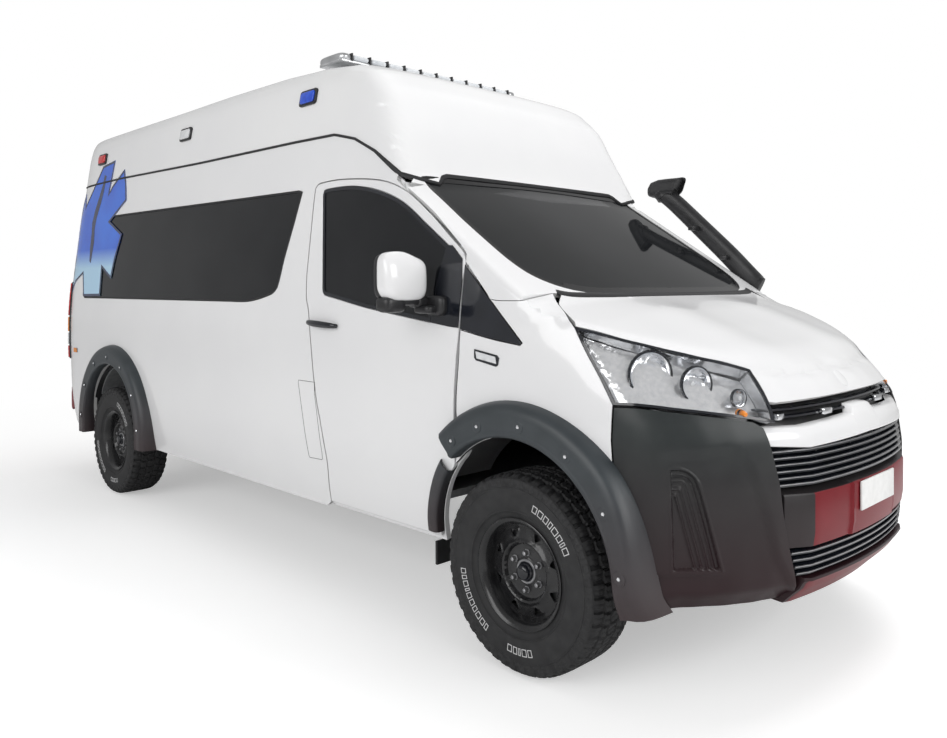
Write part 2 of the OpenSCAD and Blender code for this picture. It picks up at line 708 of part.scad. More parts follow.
// Rim with hub and brake disc, centred on the axle line, outer face towards -Y.
module rim(x) {
    r = rim_d / 2;
    translate([x, -wheel_y, tyre_r]) rotate([90, 0, 0]) color("black") difference() {
        rotate_extrude() polygon([
            [r + 12, -105], [r + 12, -97], [r, -92], [r, 92], [r + 12, 97], [r + 12, 105], [r - 2, 105],
            [r - 8, 96], [r - 8, 58], [r - 30, 50], [125, 62], [108, 70], [100, 52], [spindle_r + seat, 52],
            [spindle_r + seat, -45], [150, -45], [150, -25], [76, -25], [76, 40], [96, 40], [106, 58],
            [124, 50], [r - 32, 38], [r - 8, 30], [r - 8, -98], [r - 2, -105]
        ]);
        for (a = [22.5:45:359]) rotate([0, 0, a]) translate([148, 0, 30]) cylinder(h = 60, r = 20, $fn = 3);
    }
}
module rim_front_right() { rim(fx); }
module rim_front_left() { mirror([0, 1, 0]) rim(fx); }
module rim_rear_right() { rim(rx); }
module rim_rear_left() { mirror([0, 1, 0]) rim(rx); }
module tyre(x) {
    h = tyre_w / 2;
    color([0.1, 0.1, 0.1]) translate([x, -wheel_y, tyre_r]) rotate([90, 0, 0]) rotate_extrude() polygon([
        [rim_d / 2 + seat, -88], [rim_d / 2 + seat, 88], [rim_d / 2 + 14, 88], [rim_d / 2 + 40, h - 8],
        [(rim_d / 2 + tyre_r) / 2, h], [tyre_r - 40, h - 4], [tyre_r - 12, h - 18], [tyre_r - 2, h - 38],
        [tyre_r, h - 70], [tyre_r, -h + 70], [tyre_r - 2, -h + 38], [tyre_r - 12, -h + 18],
        [tyre_r - 40, -h + 4], [(rim_d / 2 + tyre_r) / 2, -h], [rim_d / 2 + 40, -h + 8], [rim_d / 2 + 14, -88]
    ]);
}
module tyre_front_right() { tyre(fx); }
module tyre_front_left() { mirror([0, 1, 0]) tyre(fx); }
module tyre_rear_right() { tyre(rx); }
module tyre_rear_left() { mirror([0, 1, 0]) tyre(rx); }
module front_door() {
    difference() {
        union() {
            difference() {
                intersection() {
                    layer(0, wall);
                    through_y(DOOR);
                    block([-big, -big, 0], [big, -half_w + 230, big]);
                }
                block([-big, -half_w + wall + 35, 0], [big, 0, sill_z + wall + 1]);
            }
            difference() {
                flare_ring(fx, half_w - 60, 60 + 28, arch_r + 70, 143, 180);
                envelope(1);
            }
        }
        through_y(DOOR_GLASS);
        for (z = hinge_zs)
            block([hinge_x - 30, -hinge_y - 13, z - 30], [door_front + 60, -hinge_y + 90, z + 100]);
    }
    for (z = hinge_zs) difference() {
        union() {
            translate([hinge_x, -hinge_y, z + 1]) cylinder(h = 70, r = eye_r);
            block([hinge_x - 50, -hinge_y - 6, z + 1], [hinge_x, -hinge_y + 8, z + 71]);
        }
        translate([hinge_x, -hinge_y, z - 10]) cylinder(h = 100, r = pin_r + 0.3);
    }
}
module front_door_right() { color("white") front_door(); }
module front_door_left() { color("white") mirror([0, 1, 0]) front_door(); }
module door_glass() {
    color("black") intersection() {
        layer(8, 8 + glass_t);
        through_y(inset(DOOR_GLASS, -seat));
        block([-big, -big, 0], [big, -half_w + 260, big]);
    }
}
module door_glass_right() { door_glass(); }
module door_glass_left() { mirror([0, 1, 0]) door_glass(); }
module mirror_part() {
    color("white") difference() {
        union() {
            block([fx - 560, -half_w - 250, belt_z + 15], [fx - 450, -half_w - 45, belt_z + 215]);
            block([fx - 520, -half_w - 150, belt_z - 35], [fx - 440, -half_w - 45, belt_z + 16]);
            block([fx - 465, -half_w - 60, belt_z - 35], [fx - 395, -half_w + 60, belt_z + 5]);
        }
        envelope(-seat);
    }
}
module mirror_right() { mirror_part(); }
module mirror_left() { mirror([0, 1, 0]) mirror_part(); }

chassis_frame();
floor();
body_side_right();
body_side_left();
front_fenders();
cab_front();
high_roof();
windscreen();
side_windows();
sliding_door();
partition();
dashboard();
cab_seats();
attendant_bench();
front_bumper();
grille();
headlights();
tail_lights();
rear_bumper();
wheel_flares();
mudflaps();
snorkel();
light_bar();
side_strobes();
front_suspension();
rear_axle();
engine();
exhaust();
fuel_tank();
knuckle_right();
knuckle_left();
rim_front_right();
rim_front_left();
rim_rear_right();
rim_rear_left();
tyre_front_right();
tyre_front_left();
tyre_rear_right();
tyre_rear_left();
front_door_right();
front_door_left();
door_glass_right();
door_glass_left();
mirror_right();
mirror_left();
bonnet();
tailgate();
tailgate_glass();
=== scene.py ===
import json
import math
import bpy
import bmesh
import numpy as np
from mathutils import Matrix, Quaternion, Vector
from mathutils.geometry import delaunay_2d_cdt

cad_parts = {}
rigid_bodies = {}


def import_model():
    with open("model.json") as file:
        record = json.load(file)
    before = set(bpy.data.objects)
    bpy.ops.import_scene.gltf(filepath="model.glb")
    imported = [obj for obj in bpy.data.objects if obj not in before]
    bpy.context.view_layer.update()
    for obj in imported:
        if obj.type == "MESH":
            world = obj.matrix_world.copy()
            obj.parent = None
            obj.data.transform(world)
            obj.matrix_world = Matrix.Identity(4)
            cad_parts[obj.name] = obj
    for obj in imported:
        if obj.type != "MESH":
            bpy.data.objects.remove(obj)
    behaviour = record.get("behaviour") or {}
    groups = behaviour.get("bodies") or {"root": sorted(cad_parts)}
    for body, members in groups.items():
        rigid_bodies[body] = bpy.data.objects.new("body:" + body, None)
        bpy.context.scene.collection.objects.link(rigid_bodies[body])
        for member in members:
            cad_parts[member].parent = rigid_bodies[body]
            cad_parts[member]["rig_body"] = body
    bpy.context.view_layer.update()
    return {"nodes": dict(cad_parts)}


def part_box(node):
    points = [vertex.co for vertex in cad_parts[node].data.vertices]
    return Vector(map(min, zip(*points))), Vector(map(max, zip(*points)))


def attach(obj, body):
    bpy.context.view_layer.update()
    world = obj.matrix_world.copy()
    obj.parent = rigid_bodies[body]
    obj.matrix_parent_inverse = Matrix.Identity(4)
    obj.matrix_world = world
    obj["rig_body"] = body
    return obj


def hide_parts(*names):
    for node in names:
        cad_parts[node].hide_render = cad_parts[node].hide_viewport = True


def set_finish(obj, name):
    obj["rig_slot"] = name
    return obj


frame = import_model()


# ---------------------------------------------------------------- places taken from the CAD
def middle(node):
    """Centre of a CAD node's box."""
    lo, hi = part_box(node)
    return (lo + hi) / 2


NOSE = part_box("front_bumper")[1].x
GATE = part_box("tailgate")[0].x
FX = middle("tyre_front_right").x
RX = middle("tyre_rear_right").x
AXLE = middle("tyre_front_right").z
HALF = -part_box("body_side_right")[0].y
ARCH_Z = AXLE + 0.05
ARCH_R = 0.46


# ---------------------------------------------------------------- the body's outer skin
def table(pairs, lo, hi, soft=0.0, n=3000):
    """A curve through the pairs, rounded over a width of soft."""
    a = np.array(pairs, float)
    g = np.linspace(lo, hi, n)
    v = np.interp(g, a[:, 0], a[:, 1])
    if soft > 0:
        h = g[1] - g[0]
        m = max(1, int(3 * soft / h))
        k = np.exp(-0.5 * (np.arange(-m, m + 1) * h / soft) ** 2)
        k /= k.sum()
        left = v[0] - (v[1] - v[0]) * np.arange(m, 0, -1)
        right = v[-1] + (v[-1] - v[-2]) * np.arange(1, m + 1)
        v = np.convolve(np.concatenate([left, v, right]), k, mode="valid")
    return lambda t: np.interp(t, g, v)


half_at = table([(.2, .92), (.375, .93), (.48, .95), (.70, .968), (1.0, .975), (1.24, .973), (1.40, .962),
                 (1.90, .908), (2.19, .872), (2.25, .868), (2.45, .845), (2.55, .832), (2.66, .815)], .2, 2.7,
                 .03)
plan_at = table([(0, 0), (.12, 0), (.25, .012), (.47, .048), (.615, .1), (.72, .155), (.82, .225), (.90, .30),
                 (.952, .37), (.983, .46), (.995, .56), (1, .66), (1.1, 1.9)], 0, 1.1, .012)
front_at = table([(.2, -.2), (.35, -.085), (.375, -.06), (.411, -.022), (.48, -.008), (.60, 0), (.78, 0),
                  (.93, -.022), (.985, -.042), (1.026, -.068), (1.075, -.105), (1.142, -.165), (1.3, -.3)],
                  .2, 1.3, .012)
top_at = table([(-3, 2.62), (-2.43, 2.635), (-.5, 2.632), (.1375, 2.623), (.5375, 2.603), (.8, 2.572),
                (.96, 2.515), (1.09, 2.395), (1.1875, 2.205), (1.2895, 1.957), (2.1295, 1.41),
                (2.3075, 1.352), (2.4975, 1.282), (2.6775, 1.21), (2.7925, 1.142), (2.8525, 1.077),
                (2.89, 1.0), (3.0, .7)], -3, 3.0, .016, 6000)
top_xs = np.linspace(-3, 3, 3000)
slope_at = table(list(zip(top_xs, np.gradient(top_at(top_xs), top_xs))), -3, 3, .02, 3000)
tail_at = table([(0, 0), (.8, 0), (.9, .014), (.955, .045), (.99, .10), (1, .17), (1.1, .9)], 0, 1.1, .01)
gate_at = table([(.2, .03), (.375, .02), (.625, 0), (1.15, 0), (1.70, .025), (2.205, .062), (2.44, .09),
                 (2.57, .125), (2.66, .2)], .2, 2.7, .03)


def smoothstep(a, b, t):
    """0 before a, 1 after b and an S curve between."""
    u = np.clip((np.asarray(t, float) - a) / (b - a), 0, 1)
    return u * u * (3 - 2 * u)


def skin(p):
    """Below 0 inside the body, 0 on its outer surface, above 0 outside. p is an array of points."""
    x, y, z = p[..., 0], np.abs(p[..., 1]), p[..., 2]
    w = half_at(z)
    side = y - w
    front = x - NOSE - front_at(np.minimum(z, 1.3)) + plan_at(np.minimum(y / w, 1.1))
    roof = smoothstep(1.0, 1.35, x)
    drop = (1 - roof) * .02 * (y / .8) ** 4 + roof * .054 * (y / .97) ** 2.5
    top = (z - top_at(x) + drop) / np.sqrt(1 + slope_at(x) ** 2)
    tail = GATE + gate_at(z) + tail_at(np.minimum(y / w, 1.1)) - x
    k = .012 + .026 * smoothstep(1.95, 2.25, z)
    s = np.stack([side, front, top, tail])
    m = s.max(0)
    return m + k * np.log(np.exp((s - m) / k).sum(0))


def normals(p):
    """Outward unit directions of the skin at points p."""
    h = 2e-3
    g = np.stack([skin(p + np.eye(3)[i] * h) - skin(p - np.eye(3)[i] * h) for i in range(3)], -1)
    return g / np.linalg.norm(g, axis=-1, keepdims=True)


def cast(start, way, reach):
    """First points where rays from outside meet the skin."""
    ts = np.linspace(0, reach, int(reach / .025) + 2)
    val = np.stack([skin(start + way * t) for t in ts])
    inside = val < 0
    hit = inside.any(0)
    i = np.where(hit, inside.argmax(0), np.maximum(val.argmin(0), 1))
    i = np.maximum(i, 1)
    lo, hi = ts[i - 1].copy(), ts[i].copy()
    for _ in range(22):
        mid = (lo + hi) / 2
        f = skin(start + way * mid[:, None])
        lo, hi = np.where(f < 0, lo, mid), np.where(f < 0, mid, hi)
    t = np.where(hit, hi, ts[i])
    return start + way * t[:, None]


def unit(v):
    """Directions scaled to length 1."""
    v = np.asarray(v, float)
    return v / np.linalg.norm(v, axis=-1, keepdims=True)


def on_side(pts, sign=-1):
    """Skin points beside the given (x, z)."""
    a = np.array(pts, float)
    start = np.column_stack([a[:, 0], np.full(len(a), sign * 1.3), a[:, 1]])
    return cast(start, np.array([0, -sign * 1.0, 0]), 1.3)


def on_front(pts):
    """Skin points ahead of the given (y, z)."""
    a = np.array(pts, float)
    start = np.column_stack([np.full(len(a), 3.2), a[:, 0], a[:, 1]])
    return cast(start, np.array([-1.0, 0, 0]), 2.2)


def on_rear(pts):
    a = np.array(pts, float)
    start = np.column_stack([np.full(len(a), -3.2), a[:, 0], a[:, 1]])
    return cast(start, np.array([1.0, 0, 0]), 1.5)


def on_top(pts):
    """Skin points above the given (x, y)."""
    a = np.array(pts, float)
    start = np.column_stack([a[:, 0], a[:, 1], np.full(len(a), 3.0)])
    return cast(start, np.array([0, 0, -1.0]), 2.4)


def snap(pts):
    """Moves points onto the skin along its slope."""
    p = np.array(pts, float)
    h = 1e-3
    for _ in range(14):
        g = np.stack([skin(p + np.eye(3)[i] * h) - skin(p - np.eye(3)[i] * h) for i in range(3)],
                     -1) / (2 * h)
        move = g * (skin(p) / np.maximum((g * g).sum(-1), .2))[:, None]
        far = np.maximum(np.linalg.norm(move, axis=-1, keepdims=True), 1e-9)
        p = p - move * np.minimum(1, .03 / far)
    return p


# ---------------------------------------------------------------- lines and outlines
def spline(pts, step):
    """Catmull-Rom curve through pts, evenly spaced, ends kept."""
    p = np.array(pts, float)
    if len(p) > 2:
        q = np.vstack([2 * p[0] - p[1], p, 2 * p[-1] - p[-2]])
        out = []
        for i in range(1, len(q) - 2):
            for t in np.linspace(0, 1, 12, endpoint=False):
                out.append(.5 * (2 * q[i] + (q[i + 1] - q[i - 1]) * t + (2 * q[i - 1] - 5 * q[i] + 4
                    * q[i + 1] - q[i + 2]) * t * t + (3 * q[i] - q[i - 1] - 3 * q[i + 1] + q[i + 2])
                    * t ** 3))
        out.append(q[-2])
        p = np.array(out)
    d = np.concatenate([[0], np.cumsum(np.linalg.norm(np.diff(p, axis=0), axis=1))])
    n = max(1, int(round(d[-1] / step)))
    s = np.linspace(0, d[-1], n + 1)
    return np.column_stack([np.interp(s, d, p[:, i]) for i in range(p.shape[1])])


def loop(segs, step=.025):
    """A closed outline from smooth runs that meet in corners."""
    out = []
    for i, seg in enumerate(segs):
        nxt = segs[(i + 1) % len(segs)]
        run = list(seg) + ([nxt[0]] if np.linalg.norm(np.subtract(seg[-1], nxt[0])) > 1e-6 else [])
        if len(seg) == 1:
            run = [seg[0], nxt[0]]
            out.append(spline(run, step)[:-1])
            continue
        a = spline(seg, step)
        out.append(a if np.linalg.norm(a[-1] - np.array(nxt[0])) > 1e-6 else a[:-1])
        if np.linalg.norm(np.subtract(seg[-1], nxt[0])) > 1e-6:
            out.append(spline([seg[-1], nxt[0]], step)[1:-1])
    return np.vstack([o for o in out if len(o)])


def thin(pts, d):
    """Drops points that lie closer than d to the one before."""
    keep = [0]
    for i in range(1, len(pts)):
        if np.linalg.norm(pts[i] - pts[keep[-1]]) > d:
            keep.append(i)
    return pts[keep]


def area2(q):
    x, y = q[:, 0], q[:, 1]
    return .5 * np.sum(x * np.roll(y, -1) - y * np.roll(x, -1))


def shrink(q, g):
    """Moves a closed outline in by g (out if g is below 0)."""
    s = np.sign(area2(q))
    a = unit(q - np.roll(q, 1, 0))
    b = unit(np.roll(q, -1, 0) - q)
    na = np.column_stack([-a[:, 1], a[:, 0]]) * s
    nb = np.column_stack([-b[:, 1], b[:, 0]]) * s
    m = (na + nb) / np.maximum(1 + (na * nb).sum(1), .35)[:, None]
    return q + m * g


def within(pt, q):
    """True for each point inside the closed outline q."""
    x, y = pt[:, 0][:, None], pt[:, 1][:, None]
    x0, y0 = q[:, 0], q[:, 1]
    x1, y1 = np.roll(x0, -1), np.roll(y0, -1)
    with np.errstate(divide="ignore", invalid="ignore"):
        cross = ((y0 > y) != (y1 > y)) & (x < (x1 - x0) * (y - y0) / (y1 - y0) + x0)
    return cross.sum(1) % 2 == 1


def fill(outline, holes=(), res=.04, extra=None):
    """Triangles of an outline with holes: (points, triangles)."""
    rings = [outline, *holes]
    allb = np.vstack(rings)
    lo, hi = outline.min(0), outline.max(0)
    gx = np.arange(lo[0] + res / 2, hi[0], res)
    gy = np.arange(lo[1] + res / 2, hi[1], res * .87)
    grid = np.array([(x + (res / 2 if j % 2 else 0), y) for j, y in enumerate(gy) for x in gx]).reshape(-1, 2)
    if extra is not None:
        grid = np.vstack([grid, extra])
    ok = within(grid, outline)
    for h in holes:
        ok &= ~within(grid, h)
    grid = grid[ok]
    if len(grid):
        d = np.full(len(grid), 9.0)
        for i in range(0, len(allb), 200):
            b = allb[i:i + 200]
            d = np.minimum(d, np.sqrt(((grid[:, None] - b[None]) ** 2).sum(2)).min(1))
        grid = grid[d > res * .45]
    pts = np.vstack([allb, grid])
    edges, n = [], 0
    for r in rings:
        edges += [(n + i, n + (i + 1) % len(r)) for i in range(len(r))]
        n += len(r)
    res_cdt = delaunay_2d_cdt([Vector((float(a), float(b))) for a, b in pts], edges, [], 0, 1e-7)
    vs = np.array([tuple(v) for v in res_cdt[0]])
    tri = []
    for f in res_cdt[2]:
        for k in range(1, len(f) - 1):
            tri.append((f[0], f[k], f[k + 1]))
    tri = np.array(tri)
    c = vs[tri].mean(1)
    ok = within(c, outline)
    for h in holes:
        ok &= ~within(c, h)
    tri = tri[ok]
    used = np.unique(tri)
    back = np.full(len(vs), -1)
    back[used] = np.arange(len(used))
    return vs[used], back[tri]


# ---------------------------------------------------------------- pieces
def new_piece(name, verts, faces, mats, body="body", slot=None, replaces=(), face_mats=None, sharp=40,
              bevel=0.0, subdiv=0):
    me = bpy.data.meshes.new(name)
    me.from_pydata([tuple(map(float, v)) for v in verts], [], [tuple(map(int, f)) for f in faces])
    for m in mats:
        me.materials.append(m)
    if face_mats is not None:
        me.polygons.foreach_set("material_index", np.array(face_mats, dtype=np.int32))
    me.validate()
    me.shade_smooth()
    if sharp:
        me.set_sharp_from_angle(angle=math.radians(sharp))
    ob = bpy.data.objects.new(name, me)
    bpy.context.scene.collection.objects.link(ob)
    if bevel:
        b = ob.modifiers.new("edge", "BEVEL")
        b.width = bevel
        b.segments = 2
        b.limit_method = "ANGLE"
        b.angle_limit = math.radians(40)
    if subdiv:
        s = ob.modifiers.new("sub", "SUBSURF")
        s.levels = s.render_levels = subdiv
    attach(ob, body)
    if slot:
        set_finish(ob, slot)
    if replaces:
        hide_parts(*replaces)
    return ob


def face_out(ob):
    """Turns every face of a piece outwards."""
    bm = bmesh.new()
    bm.from_mesh(ob.data)
    bmesh.ops.recalc_face_normals(bm, faces=bm.faces)
    bm.to_mesh(ob.data)
    bm.free()
    return ob


def loft(rings):
    """Vertices and faces of a skin over rings of points, capped at both ends."""
    n, m = len(rings), len(rings[0])
    faces = [(i * m + k, i * m + (k + 1) % m, (i + 1) * m + (k + 1) % m, (i + 1) * m + k)
             for i in range(n - 1) for k in range(m)]
    caps = [tuple(range(m))[::-1], tuple((n - 1) * m + k for k in range(m))]
    return np.array(rings).reshape(-1, 3), faces + caps


def other_side(ob, name, body=None, replaces=()):
    """The same piece mirrored to the left side."""
    me = ob.data.copy()
    co = np.zeros(len(me.vertices) * 3)
    me.vertices.foreach_get("co", co)
    co = co.reshape(-1, 3)
    co[:, 1] *= -1
    me.vertices.foreach_set("co", co.ravel())
    me.flip_normals()
    me.update()
    c = bpy.data.objects.new(name, me)
    bpy.context.scene.collection.objects.link(c)
    for m in ob.modifiers:
        n = c.modifiers.new(m.name, m.type)
        if m.type == "BEVEL":
            n.width, n.segments = m.width, m.segments
            n.limit_method, n.angle_limit = m.limit_method, m.angle_limit
        if m.type == "SUBSURF":
            n.levels, n.render_levels = m.levels, m.render_levels
    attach(c, body or ob["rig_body"])
    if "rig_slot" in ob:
        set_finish(c, ob["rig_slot"])
    if replaces:
        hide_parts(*replaces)
    return c


def both(make, base, *args, left_for=(), **kw):
    """Makes a piece on the right and its mirror image on the left, each on its own side's body."""
    ob = make(base + "_right", *args, **kw)
    return other_side(ob, base + "_left", ob["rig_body"].replace("right", "left"), left_for)


def thicken(pts, nrm, tri, t, t0=0.0):
    """A closed shell between the surface moved out by t0 and the one t further in."""
    n = len(pts)
    a = pts + nrm * t0
    b = pts + nrm * (t0 - t)
    fn = np.cross(a[tri[:, 1]] - a[tri[:, 0]], a[tri[:, 2]] - a[tri[:, 0]])
    flip = (fn * nrm[tri[:, 0]]).sum(1) < 0
    tri = tri.copy()
    tri[flip] = tri[flip][:, ::-1]
    count, order = {}, {}
    for f in tri:
        for i in range(3):
            e = (int(f[i]), int(f[(i + 1) % 3]))
            key = (min(e), max(e))
            count[key] = count.get(key, 0) + 1
            order[key] = e
    faces = [tuple(f) for f in tri] + [tuple(n + f[::-1]) for f in tri]
    rim = [(order[k][1], order[k][0], n + order[k][0], n + order[k][1]) for k, c in count.items() if c == 1]
    mats = [0] * len(tri) + [1] * len(tri) + [2] * len(rim)
    return np.vstack([a, b]), faces + rim, mats


def panel(name, outline, way, t=.02, holes=(), res=.04, t0=0.0, gap=.0, mats=None, warp=None, bevel=.0025,
          sharp=35, extra=None, **kw):
    """A curved shell that lies on the skin. outline and holes are closed 3D outlines near it, and way is the
    direction that the panel is seen from."""
    way = unit(way)
    up = np.array([0, 0, 1.0]) if abs(way[2]) < .9 else np.array([1.0, 0, 0])
    e1 = unit(np.cross(up, way))
    e2 = np.cross(way, e1)
    flat = lambda q: np.column_stack([q @ e1, q @ e2])
    out = shrink(flat(outline), gap) if gap else flat(outline)
    hol = [shrink(flat(h), -gap) if gap else flat(h) for h in holes]
    uv, tri = fill(out, hol, res, None if extra is None else flat(extra))
    base = outline.mean(0) @ way
    start = uv[:, :1] * e1 + uv[:, 1:2] * e2 + way * (base + 1.2)
    pts = cast(start, -way, 2.4)
    nrm = normals(pts)
    if warp:
        pts = warp(pts, nrm)
    v, f, fm = thicken(pts, nrm, tri, t, t0)
    mats = list(mats)
    mats = mats + [mats[-1]] * (3 - len(mats))
    return new_piece(name, v, f, mats, face_mats=fm, sharp=sharp, bevel=bevel, **kw)


def sweep(name, path, frames, section, mats, closed=False, caps=True, **kw):
    """A section (list of (a, b)) carried along path, with frames giving its two axes at each point.
    section may be a function of the point's index."""
    n = len(path)
    rings = []
    for i in range(n):
        sec = np.array(section(i) if callable(section) else section, float)
        rings.append(path[i] + sec[:, :1] * frames[0][i] + sec[:, 1:2] * frames[1][i])
    m = len(rings[0])
    v = np.vstack(rings)
    f = []
    for i in range(n if closed else n - 1):
        j = (i + 1) % n
        for k in range(m):
            l = (k + 1) % m
            f.append((i * m + k, i * m + l, j * m + l, j * m + k))
    if caps and not closed:
        f.append(tuple(range(m))[::-1])
        f.append(tuple((n - 1) * m + k for k in range(m)))
    return face_out(new_piece(name, v, f, mats, **kw))


def skin_frames(path, closed=False):
    """Sideways and outward axes of a line on the skin."""
    nxt = np.roll(path, -1, 0) if closed else np.vstack([path[1:], 2 * path[-1] - path[-2]])
    prv = np.roll(path, 1, 0) if closed else np.vstack([2 * path[0] - path[1], path[:-1]])
    t = unit(nxt - prv)
    n = normals(path)
    b = unit(np.cross(t, n))
    return b, unit(np.cross(b, t))


def strip(name, pts, width, height, mats, sunk=.004, closed=False, step=.02, **kw):
    """A moulded strip on the skin through the given points."""
    path = snap(spline(pts, step)) if not closed else snap(np.array(pts))
    w, h = width / 2, height
    sec = [(-w, -sunk), (-w, h * .35), (-w * .72, h * .85), (0, h), (w * .72, h * .85), (w, h * .35),
           (w, -sunk)]
    return sweep(name, path, skin_frames(path, closed), sec, mats, closed=closed, sharp=60, **kw)


def tube(name, pts, r, mats, sides=14, step=.02, caps=True, radii=None, **kw):
    """A round bar along a smooth line."""
    path = spline(pts, step)
    t = unit(np.vstack([path[1:] - path[:-1], path[-1:] - path[-2:-1]]))
    ref = np.array([0, 0, 1.0]) if abs(t[0][2]) < .9 else np.array([1.0, 0, 0])
    e = [unit(np.cross(t[0], ref))]
    for i in range(1, len(path)):
        v = e[-1] - t[i] * (e[-1] @ t[i])
        e.append(unit(v))
    e = np.array(e)
    g = np.cross(t, e)
    rr = np.full(len(path), r)
    if radii is not None:
        rr = np.interp(np.linspace(0, 1, len(path)), np.linspace(0, 1, len(radii)), radii)
    a = np.linspace(0, 2 * math.pi, sides, endpoint=False)
    return sweep(name, path, (e, g), lambda i: np.column_stack([np.cos(a), np.sin(a)]) * rr[i], mats,
                 caps=caps, sharp=50, **kw)


def turned(name, prof, centre, axis, mats, seg=64, **kw):
    """A turned shape: prof is a list of (radius, along), axis the direction of along."""
    axis = unit(axis)
    ref = np.array([0, 0, 1.0]) if abs(axis[2]) < .9 else np.array([1.0, 0, 0])
    e = unit(np.cross(ref, axis))
    g = np.cross(axis, e)
    prof = np.array(prof, float)
    v, f = [], []
    for i in range(seg):
        a = 2 * math.pi * i / seg
        d = e * math.cos(a) + g * math.sin(a)
        v.append(np.array(centre) + prof[:, :1] * d + prof[:, 1:2] * axis)
    v = np.vstack(v)
    m = len(prof)
    for i in range(seg):
        j = (i + 1) % seg
        for k in range(m - 1):
            f.append((i * m + k, j * m + k, j * m + k + 1, i * m + k + 1))
    ob = new_piece(name, v, f, mats, **kw)
    bm = bmesh.new()
    bm.from_mesh(ob.data)
    bmesh.ops.remove_doubles(bm, verts=bm.verts, dist=1e-6)
    bmesh.ops.recalc_face_normals(bm, faces=bm.faces)
    bm.to_mesh(ob.data)
    bm.free()
    return ob


def rounded(lo, hi, r=.01, seg=2):
    """Vertices and faces of a box with rounded edges, for joining into a piece."""
    bm = bmesh.new()
    bmesh.ops.create_cube(bm, size=1)
    lo, hi = np.minimum(lo, hi), np.maximum(lo, hi)
    for v in bm.verts:
        v.co = Vector([(lo[i] + hi[i]) / 2 + v.co[i] * (hi[i] - lo[i]) for i in range(3)])
    if r:
        bmesh.ops.bevel(bm, geom=bm.edges[:], offset=r, segments=seg, affect="EDGES", profile=.5)
    v = np.array([tuple(q.co) for q in bm.verts])
    f = [[q.index for q in fc.verts] for fc in bm.faces]
    bm.free()
    return v, f


def joined(name, parts, mats, idx=None, **kw):
    """One piece from several (vertices, faces) sets; idx gives each set's material."""
    v, f, m, n = [], [], [], 0
    for i, (pv, pf) in enumerate(parts):
        v.append(np.asarray(pv, float))
        f += [[a + n for a in face] for face in pf]
        m += [idx[i] if idx else 0] * len(pf)
        n += len(pv)
    return new_piece(name, np.vstack(v), f, mats, face_mats=m, **kw)


# ---------------------------------------------------------------- materials
def finish_mat(name, lo, hi, scale=6.0, rough=(.35, .45), metal=0.0, coat=0.0, bump=0.0, bump_scale=300.0,
               spec=.5, alpha=1.0, glow=0.0, low=None, kind="noise"):
    """A surface whose colour, gloss and grain vary by noise. low gives a colour and two heights: below the
    first the surface takes that colour, above the second its own, with a blend between.
    """
    m = bpy.data.materials.new(name)
    m.use_nodes = True
    nt = m.node_tree
    p = nt.nodes["Principled BSDF"]
    co = nt.nodes.new("ShaderNodeTexCoord")
    no = nt.nodes.new("ShaderNodeTexNoise")
    no.inputs["Scale"].default_value = scale
    no.inputs["Detail"].default_value = 5
    nt.links.new(co.outputs["Object"], no.inputs["Vector"])
    ra = nt.nodes.new("ShaderNodeValToRGB")
    ra.color_ramp.elements[0].position = .3
    ra.color_ramp.elements[1].position = .7
    ra.color_ramp.elements[0].color = (*lo, 1)
    ra.color_ramp.elements[1].color = (*hi, 1)
    nt.links.new(no.outputs["Fac"], ra.inputs["Fac"])
    colour = ra.outputs["Color"]
    if low:
        geo = nt.nodes.new("ShaderNodeSeparateXYZ")
        nt.links.new(co.outputs["Object"], geo.inputs[0])
        mr = nt.nodes.new("ShaderNodeMapRange")
        mr.inputs["From Min"].default_value = low[1]
        mr.inputs["From Max"].default_value = low[2]
        nt.links.new(geo.outputs["Z"], mr.inputs["Value"])
        mx = nt.nodes.new("ShaderNodeMix")
        mx.data_type = "RGBA"
        mx.inputs[6].default_value = (*low[0], 1)
        nt.links.new(mr.outputs["Result"], mx.inputs[0])
        nt.links.new(colour, mx.inputs[7])
        colour = mx.outputs[2]
    nt.links.new(colour, p.inputs["Base Color"])
    r2 = nt.nodes.new("ShaderNodeMapRange")
    r2.inputs["To Min"].default_value = rough[0]
    r2.inputs["To Max"].default_value = rough[1]
    nt.links.new(no.outputs["Fac"], r2.inputs["Value"])
    nt.links.new(r2.outputs["Result"], p.inputs["Roughness"])
    p.inputs["Metallic"].default_value = metal
    p.inputs["Specular IOR Level"].default_value = spec
    if coat:
        p.inputs["Coat Weight"].default_value = coat
        p.inputs["Coat Roughness"].default_value = .04
    if glow:
        nt.links.new(colour, p.inputs["Emission Color"])
        p.inputs["Emission Strength"].default_value = glow
    if alpha < 1:
        p.inputs["Alpha"].default_value = alpha
    if bump:
        if kind == "weave":
            tx = nt.nodes.new("ShaderNodeTexWave")
            tx.inputs["Scale"].default_value = bump_scale
            tx.inputs["Distortion"].default_value = 1.5
            out = tx.outputs["Fac"]
        elif kind == "cells":
            tx = nt.nodes.new("ShaderNodeTexVoronoi")
            tx.inputs["Scale"].default_value = bump_scale
            out = tx.outputs["Distance"]
        else:
            tx = nt.nodes.new("ShaderNodeTexNoise")
            tx.inputs["Scale"].default_value = bump_scale
            tx.inputs["Detail"].default_value = 3
            out = tx.outputs["Fac"]
        nt.links.new(co.outputs["Object"], tx.inputs["Vector"])
        b = nt.nodes.new("ShaderNodeBump")
        b.inputs["Strength"].default_value = bump
        b.inputs["Distance"].default_value = .002
        nt.links.new(out, b.inputs["Height"])
        nt.links.new(b.outputs["Normal"], p.inputs["Normal"])
    return m


